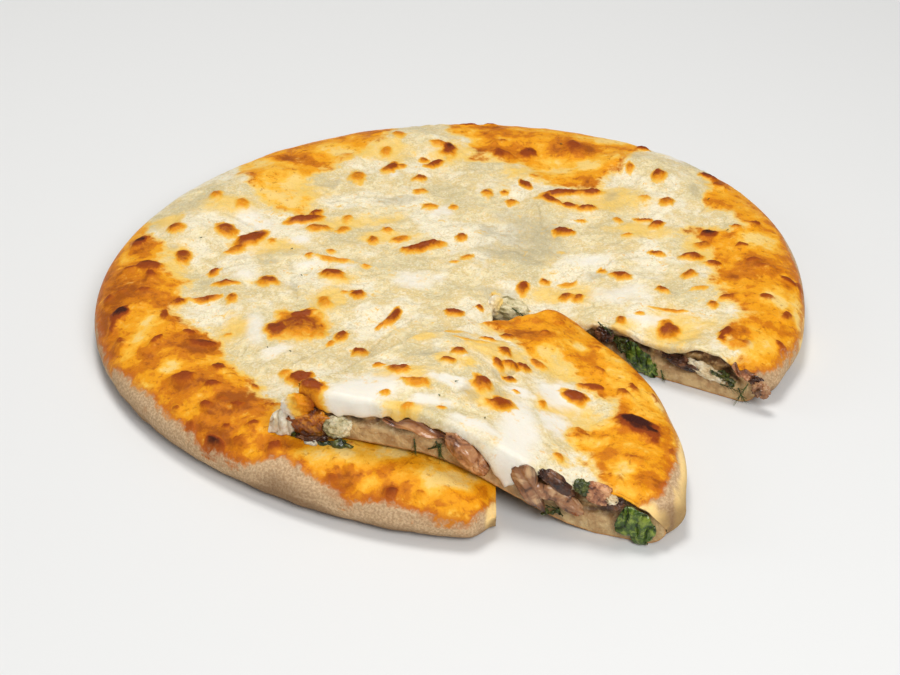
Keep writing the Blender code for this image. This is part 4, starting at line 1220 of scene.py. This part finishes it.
def thin_slice(name, which, spot, length, tall, lean, material, seed, fold=1.2, thick=1.0, curl=0.0):
    """A thin wavy slice, such as of mushroom or onion, darker along one edge."""
    u, v = sheet_grid(15, 56)
    width = np.sqrt(np.maximum(1.02 - u**2, 0)) * (0.8 + 0.2 * np.sin(4 * u + seed))
    a = u * length / 2 * MM
    h = v * width * tall / 2 * MM + 0.14 * tall * MM * np.sin(5.5 * u + seed) - curl * u * u * MM
    o = fold * MM * (0.6 * np.sin(u * 4.2 + seed + v) + 0.3 * np.sin(v * 4 + u * 6 + seed * 2))
    a, h = turned(a, h, lean)
    return sheet_mesh(name, which, spot, [(a, h, o, smooth((v + 0.1) * 1.2) * 0.8)], material, thick)


def mushroom_slice(name, which, spot, size, lean, material, seed, thick=2.2):
    """A mushroom cut lengthwise: cap above, stem below, gills between them."""
    t = np.linspace(0, 2 * math.pi, 73)[None, :]
    s = np.linspace(0.02, 1, 16)[:, None]
    cap = np.where(np.sin(t) > -0.25, 1.0, 0.0)
    stem = 0.34 / np.maximum(np.abs(np.cos(t)), 0.34)
    shape = np.where(np.sin(t) > -0.3, 0.92 + 0.08 * np.sin(2 * t), np.minimum(stem, 1.25))
    shape = (shape + np.roll(shape, 1, 1) + np.roll(shape, -1, 1)) / 3 * (1 + 0.05 * np.sin(5 * t + seed))
    a = s * shape * np.cos(t) * size * 0.5 * MM
    h = s * shape * np.sin(t) * size * 0.5 * MM
    gill = smooth(1 - np.abs(h / (size * MM) + 0.08) / 0.13) * smooth((np.abs(a) / (size * MM) - 0.1) / 0.08)
    gill = gill * (0.6 + 0.4 * np.sin(t * 40)) + 0.5 * smooth((s - 0.9) / 0.1) * cap
    layers = []
    a, h = turned(a, h, lean)
    for side in (-1, 1):
        o = side * (1 - s**4) * thick / 2 * MM * np.ones_like(a) + 0.3 * MM * np.sin(a / MM + h / MM)
        layers.append((a, h, o, gill * np.ones_like(a)))
    rows, columns = a.shape
    points = np.concatenate([on_cut(which, spot, l[0].ravel(), l[1].ravel(), l[2].ravel()) for l in layers])
    faces = np.concatenate((grid_faces(rows, columns), grid_faces(rows, columns, rows * columns, True)))
    dark = np.concatenate([l[3].ravel() for l in layers])
    return make_mesh(name, points, faces, {"dark": dark}, material)


def twig(points, faces, start, direction, length, radius):
    """Adds one thin tapered needle to a dill sprig."""
    direction = Vector(direction).normalized()
    side = direction.cross(Vector((0.3, 0.2, 1))).normalized()
    other = direction.cross(side)
    base = len(points)
    bend = Vector(rng.uniform(-0.25, 0.25, 3))
    for i in range(4):
        t = i / 3
        centre = Vector(start) + (direction * t + bend * t * t) * length
        r = radius * (1 - 0.75 * t)
        for k in range(4):
            a = k * math.pi / 2
            points.append(centre + (side * math.cos(a) + other * math.sin(a)) * r)
    for i in range(3):
        for k in range(4):
            a, b = base + i * 4 + k, base + i * 4 + (k + 1) % 4
            faces.append((a, b, b + 4, a + 4))
    faces.append(tuple(base + k for k in (3, 2, 1, 0)))
    faces.append(tuple(base + 12 + k for k in range(4)))


def dill(name, start, towards, length, material, needles=16):
    """A sprig of dill: one stalk with needles off both sides."""
    points, faces = [], []
    start, towards = Vector(start), Vector(towards).normalized()
    twig(points, faces, start, towards, length * MM, 0.28 * MM)
    for i in range(needles):
        t = (i + 1) / (needles + 1)
        direction = towards * 1.3 + Vector(rng.normal(0, 0.5, 3))
        needle = (1.6 + 2.2 * rng.random()) * MM
        twig(points, faces, start + towards * length * t * MM, direction, needle, 0.13 * MM)
    points = np.array([tuple(p) for p in points])
    points[:, 2] = np.maximum(points[:, 2], CLEAR)
    return make_mesh(name, points, faces, {}, material)


def build_skins():
    baked_material()
    cut_material()
    quarter = math.pi / 2
    bread_paint = {
        "spots": BREAD_SPOTS, "pools": BREAD_POOLS, "greys": BREAD_GREYS_AND_SHADE, "creases": BREAD_CREASES,
        "cheese": BREAD_CHEESE_LINE, "golds": BREAD_GOLDS, "darks_and_shade": BREAD_DARKS_AND_SHADE, "pales_and_light": BREAD_PALES_AND_LIGHT,
    }
    slice_paint = {
        "spots": SLICE_SPOTS, "pools": SLICE_POOLS, "greys": SLICE_GREYS, "creases": SLICE_CREASES,
        "cheese": SLICE_CHEESE_LINE, "golds": SLICE_GOLDS, "darks_and_shade": SLICE_DARKS, "pales_and_light": SLICE_PALES_AND_LIGHT,
    }
    bread_lips = (
        (0, heading(CUT_RIGHT - quarter), lip_rule(0.1, (
            (0, 2.5), (10, 5), (22, 7), (42, 7), (48, 2.5), (60, 3), (85, 3.5), (95, 1.6), (112, 0.8),
            (126, 0.3)))),
        (-1, heading(CUT_LEFT + quarter), lip_rule(0.2, (
            (0, 2.5), (80, 2.5), (104, 1.2), (130, 0.6), (140, 0.2)))),
    )
    slice_lips = (
        (0, heading(CUT_LEFT + SLICE_TURN - quarter), lip_rule(0.3, (
            (0, 7), (5, 9.5), (10, 9), (14, 9), (24, 8.6), (32, 6.5), (42, 5.4), (50, 6.4), (58, 5),
            (66, 6.5), (71, 11), (77, 17.4), (82, 14), (86, 6), (90, 3.2), (104, 2.2), (112, 1), (130, 0.6),
            (140, 0.2)))),
        (-1, heading(SLICE_BACK + quarter), lip_rule(0.4, ((0, 3), (60, 3), (78, 2), (90, 0.8), (126, 0.2)))),
    )
    bread_end = CUT_LEFT + 2 * math.pi
    bread = skin("bread_skin", "bread", CUT_RIGHT, bread_end, 620, bread_paint, bread_lips, "baked_top")
    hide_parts("bread_crust", "bread_cheese")
    slice_top = skin("slice_skin", "slice", CUT_LEFT, CUT_RIGHT, 250, slice_paint, slice_lips, "baked_top")
    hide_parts("slice_crust", "slice_cheese")
    for piece in (bread, slice_top):
        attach(piece, "root")
    walls = (
        ("bread_cut_right", "bread", CUT_RIGHT, -quarter, 240, 36, 101),
        ("bread_cut_left", "bread", CUT_LEFT, quarter, 240, 36, 131),
        ("slice_cut_front", "slice", CUT_LEFT, -quarter, 320, 44, 151),
        ("slice_cut_back", "slice", CUT_RIGHT, quarter, 240, 36, 171),
    )
    for name, which, direction, out, columns, rows, seed in walls:
        face = wall(name, which, direction, out, columns, rows, "cut_face", seed)
        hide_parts("bread_filling" if which == "bread" else "slice_filling")
        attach(face, "root")


# The moist pieces: light, middle and dark tone, roughness, size of the patches, depth of relief, mottling.
PIECE_LOOKS = {
    "mushroom": ((206, 166, 122), (156, 106, 70), (56, 32, 22), 0.22, 7 * MM, 0.1 * MM, 0.25),
    "mushroom_pink": ((218, 168, 118), (182, 122, 76), (100, 56, 34), 0.22, 7 * MM, 0.12 * MM, 0.3),
    "mushroom_dark": ((128, 86, 58), (70, 40, 26), (28, 14, 10), 0.2, 5 * MM, 0.12 * MM, 0.3),
    "curd": ((240, 228, 198), (226, 204, 160), (190, 156, 110), 0.4, 5 * MM),
    "curd_green": ((238, 226, 190), (212, 198, 152), (120, 116, 70), 0.3, 5 * MM),
    "wet_filling": ((234, 222, 184), (212, 198, 152), (150, 136, 88), 0.3, 6 * MM),
    # The bright leaf's light tone is raised to a painted highlight, seen on the ridges between its shaded
    # folds.
    "leaf_bright": ((140, 156, 58), (70, 96, 20), (26, 42, 8), 0.16, 3 * MM, 0.12 * MM),
    "leaf_dark": ((112, 116, 52), (62, 72, 28), (22, 28, 12), 0.2, 3 * MM, 0.15 * MM),
    "dill_green": ((78, 96, 30), (50, 68, 20), (24, 36, 12), 0.5, 2 * MM, 0.1 * MM),
    "onion": ((216, 160, 112), (170, 108, 70), (96, 52, 34), 0.24, 4 * MM, 0.15 * MM),
    "toasted": ((232, 150, 34), (158, 82, 14), (64, 24, 8), 0.28, 6 * MM, 0.3 * MM),
    "curd_white": ((250, 242, 224), (238, 226, 198), (206, 184, 146), 0.4, 4 * MM, 0.3 * MM),
}


def build_pieces():
    for name, look in PIECE_LOOKS.items():
        piece_material(name, *look)

    darker = {"dark": lambda p: 0.9 * smooth(0.3 - p[:, 2])}
    milky = {"pool": lambda p: 0.5 - 0.4 * p[:, 0], "gold": lambda p: 0.6 + 0.5 * p[:, 0]}
    milky["flour"] = lambda p: -3.0
    melted = {**milky, "toast_and_shade": lambda p: 0.3 + 0.42 * p[:, 0]}
    stand_ins = (
        ("slice_mushroom_tip", "cheese",
         chunk("tip_browned", "slice", (308, 421, 1.2), (15, 5.4, 13.5), 8, "toasted", 5.3,
               0.42, 0.2, 0.9, darker)),
        ("slice_curd_left", "curd",
         crumpled("tip_curd_left", "slice", (286, 423, 0.2), 11, 15, -8, "curd_white", 2.1, 3)),
        ("slice_curd_right", "curd",
         chunk("tip_curd_right", "slice", (313, 446, 3.6), (6, 4, 5.5), 25, "curd_white", 3.7,
               0.4, 0.14, 0.8)),
        ("slice_leaf_tip", "leaf",
         crumpled("tip_leaf", "slice", (334, 444, 2.4), 15, 5.5, 34, "leaf_dark", 6, 3)),
        ("slice_mushroom_thin", "mushroom",
         thin_slice("thin_mushroom", "slice", (416, 427, 1.4), 25, 5.4, -3, "mushroom_pink", 1.9, 1.2, 1.2)),
        ("slice_mushroom_pink", "mushroom",
         chunk("pink_mushroom", "slice", (466, 452, 1.6), (17, 6, 11), -36, "mushroom_pink", 4.4,
               0.24, 0.02)),
        ("slice_mushroom_gills", "mushroom",
         mushroom_slice("gills_mushroom", "slice", (536, 489, 2.6), 19, 105, "mushroom", 2.0, 3.0)),
        ("slice_mushroom_cap", "mushroom",
         chunk("cap_mushroom", "slice", (558, 483, 1.2), (13, 5, 7), -18, "mushroom_dark", 6.1, 0.22, 0.03)),
        ("slice_mushroom_stem", "mushroom",
         chunk("stem_mushroom", "slice", (566, 501, 1.6), (14, 5, 7.5), -22, "mushroom", 7.7, 0.16, 0.02)),
        ("slice_onion", "onion",
         chunk("onion_bit", "slice", (599, 494, 0.6), (9, 4, 8), -6, "onion", 8.3, 0.1, 0.03, 0.5)),
        ("slice_mushroom_end", "mushroom",
         chunk("end_mushroom", "slice", (614, 502, 0.8), (7, 4, 6), 0, "mushroom_dark", 9.4, 0.5)),
        ("slice_leaf_end", "leaf",
         crumpled("end_leaf", "slice", (637, 524, 0.4), 15.5, 13, -28, "leaf_bright", 3, 3)),
        ("bread_curd_tip", "curd",
         chunk("cut_tip_filling", "bread", (505, 309, 2.6), (22, 11, 10), 2, "wet_filling", 1.1, 0.2, 0.08)),
        ("bread_mushroom_dark", "mushroom",
         chunk("dark_mushroom", "bread", (605, 334, 1.4), (7, 5, 6), -20, "mushroom_dark", 2.9, 0.5)),
        ("bread_leaf_bright", "leaf",
         crumpled("bright_leaf", "bread", (643, 360, -0.6), 18, 9, -24, "leaf_bright", 8, 3)),
        ("bread_mushroom_flat", "mushroom",
         chunk("flat_mushroom", "bread", (683, 362, 0.2), (16, 4, 4.6), -12, "mushroom_dark", 4.9, 0.5)),
        ("bread_leaf_dark", "leaf",
         wilted("dark_leaf", "bread", (724, 377, 1.2), 10, 5, -20, "leaf_dark", 11, 4)),
        ("bread_onion_curl", "onion",
         thin_slice("onion_curl", "bread", (742, 374, 1.4), 9, 4.4, -10, "onion", 6.6, 1.4, 1.2, -2.0)),
        ("bread_mushroom_end", "mushroom",
         chunk("end_chunk", "bread", (761, 390, 1.0), (7, 4, 7), 0, "mushroom", 7.2, 0.45)),
    )
    for node, slot, piece in stand_ins:
        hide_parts(node)
        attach(piece, "root")

    extras = (
        (chunk("tip_curd_green", "slice", (337, 427, 1.0), (12, 5, 9), 20, "curd_green", 5.5, 0.26, 0.05),
         "curd"),
        (chunk("tip_dark", "slice", (312, 437, 2.2), (12, 4, 4), 6, "mushroom_dark", 9.1, 0.4), "mushroom"),
        (chunk("tip_smear", "slice", (297, 405, 2.6), (13, 5.4, 9), 20, "baked_top", 4.4,
               0.2, 0.06, 1.0, melted), "cheese"),
        (chunk("cut_tip_smear", "bread", (496, 306, 5.0), (7, 8, 9), 0, "baked_top", 2.4,
               0.16, 0.04, 1.0, milky), "cheese"),
        (wilted("tip_leaf_left", "slice", (302, 441, 2.8), 10, 6, -20, "leaf_dark", 21, 4), "leaf"),
        (chunk("pink_lump", "slice", (480, 465, 2.0), (6, 5, 7), 0, "mushroom_pink", 12.2, 0.4), "mushroom"),
        (chunk("dark_gap_piece", "slice", (585, 488, 0.6), (8, 4, 6), 0, "leaf_dark", 13.5, 0.4), "leaf"),
        (chunk("toasted_crumb", "slice", (575, 511, 2.0), (4, 3.4, 3), 0, "toasted", 14.5, 0.4), "cheese"),
        (chunk("white_crumb", "slice", (612, 500, 2.0), (4, 3.4, 3.6), 0, "curd", 15.5, 0.4), "curd"),
        (chunk("purple_piece", "slice", (549, 478, 1.0), (8, 4, 4), -10, "mushroom_dark", 16.5, 0.4),
         "mushroom"),
        (wilted("foot_herb", "slice", (553, 513, 1.6), 7, 4, 10, "leaf_dark", 31, 3), "leaf"),
        (wilted("herb_strand", "bread", (618, 341, 1.0), 10, 4, -35, "leaf_dark", 41, 4), "leaf"),
        (chunk("right_curd", "bread", (706, 371, 0.4), (16, 3.4, 5), -15, "curd", 17.5, 0.5, 0.14), "curd"),
        (chunk("right_dark", "bread", (756, 381, 0.0), (6, 3, 4), 0, "mushroom_dark", 18.5, 0.4), "mushroom"),
    )
    for piece, slot in extras:
        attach(piece, "root")

    sprigs = (
        ("dill_slice_a", "slice", (414, 439, 0.7), (0.1, 0, -1), 6),
        ("dill_slice_b", "slice", (428, 449, 0.7), (0.7, 0, 0.5), 5),
        ("dill_slice_c", "slice", (436, 441, 0.7), (0.3, 0, -1), 7),
        ("dill_slice_d", "slice", (441, 444, 0.7), (-0.1, 0, -1), 5),
        ("dill_slice_foot", "slice", (560, 510, 2.2), (-1, -0.2, -0.3), 5),
        ("dill_bread_a", "bread", (661, 370, 0.8), (0.3, 0, -1), 5),
        ("dill_bread_b", "bread", (748, 384, 1.4), (-0.4, 0.2, -1), 9),
        ("dill_bread_c", "bread", (738, 388, 1.4), (0.5, 0, -0.8), 6),
        ("dill_bread_d", "bread", (598, 322, 1.6), (0.8, 0.2, -0.3), 7),
        ("dill_bread_e", "bread", (720, 384, 1.0), (1, 0, -0.1), 8),
        ("dill_tip_a", "bread", (494, 318, 6.5), (0.5, 0, 1), 6),
        ("dill_tip_b", "bread", (512, 308, 6.5), (0.9, 0, -0.4), 6),
        ("dill_tip_c", "bread", (486, 319, 6.5), (0.2, 0, 0.6), 2),
    )
    for name, which, spot, (da, do, dh), length in sprigs:
        along, height = cut_pixel(which, spot[0], spot[1], spot[2] * MM)
        start = np.array(at_cut(which, along, height, spot[2] * MM))
        end = np.array(at_cut(which, along + da * MM, height + dh * MM, (spot[2] + do) * MM))
        sprig = dill(name, start, end - start, length, "dill_green")
        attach(sprig, "root")

    for which, marks in (("bread", SPECKS), ("slice", SLICE_SPECKS)):
        places = from_photo(which, *zip(*marks))
        for i, (x, y) in enumerate(places):
            z = float(plain_top(which, np.array([x]), np.array([y]))[0])
            towards = (rng.uniform(-1, 1), rng.uniform(-1, 1), 0.05)
            speck = dill(f"speck_{which}_{i}", (x, y, z + 0.6 * MM), towards, 1.3, "dill_green", 0)
            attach(speck, "root")


# Camera, floor and light


def stage():
    scene = bpy.context.scene
    back = Vector((0, -math.cos(CAMERA_TILT), math.sin(CAMERA_TILT)))
    lens = bpy.data.cameras.new("camera")
    lens.sensor_width = 36
    lens.lens = FOCAL_PIXELS / PHOTO_WIDE * 36
    lens.clip_start = 0.01
    camera = bpy.data.objects.new("camera", lens)
    camera.location = Vector(AIM) + back * CAMERA_DISTANCE
    camera.rotation_euler = back.to_track_quat("Z", "Y").to_euler()
    scene.collection.objects.link(camera)
    scene.camera = camera

    bm = bmesh.new()
    bmesh.ops.create_grid(bm, x_segments=1, y_segments=1, size=4)
    mesh = bpy.data.meshes.new("floor")
    bm.to_mesh(mesh)
    bm.free()
    floor = bpy.data.objects.new("floor", mesh)
    floor.location.z = -0.2 * MM
    look = Look("floor")
    look.body.inputs["Base Color"].default_value = (0.78, 0.78, 0.77, 1)
    look.body.inputs["Roughness"].default_value = 0.7
    mesh.materials.append(look.material)
    scene.collection.objects.link(floor)

    def lamp(name, place, size, power, colour=(1, 1, 1)):
        light = bpy.data.lights.new(name, "AREA")
        light.shape = "DISK"
        light.size = size
        light.energy = power
        light.color = colour
        obj = bpy.data.objects.new(name, light)
        obj.location = place
        obj.rotation_euler = (Vector(place)).to_track_quat("Z", "Y").to_euler()
        scene.collection.objects.link(obj)

    lamp("key", (-0.1, 0.3, 1.25), 0.5, 8.5, (1.0, 0.985, 0.96))
    lamp("front", (0.4, -0.95, 0.9), 0.7, 10.5)
    lamp("side", (-1.1, 0.1, 0.55), 0.5, 1.4)

    world = bpy.data.worlds.new("studio")
    world.use_nodes = True
    sky = world.node_tree.nodes["Background"]
    sky.inputs["Color"].default_value = (0.95, 0.97, 1.0, 1)
    sky.inputs["Strength"].default_value = 0.26
    scene.world = world
    scene.view_settings.view_transform = "Standard"
    scene.view_settings.look = "None"


build_skins()
build_pieces()
stage()
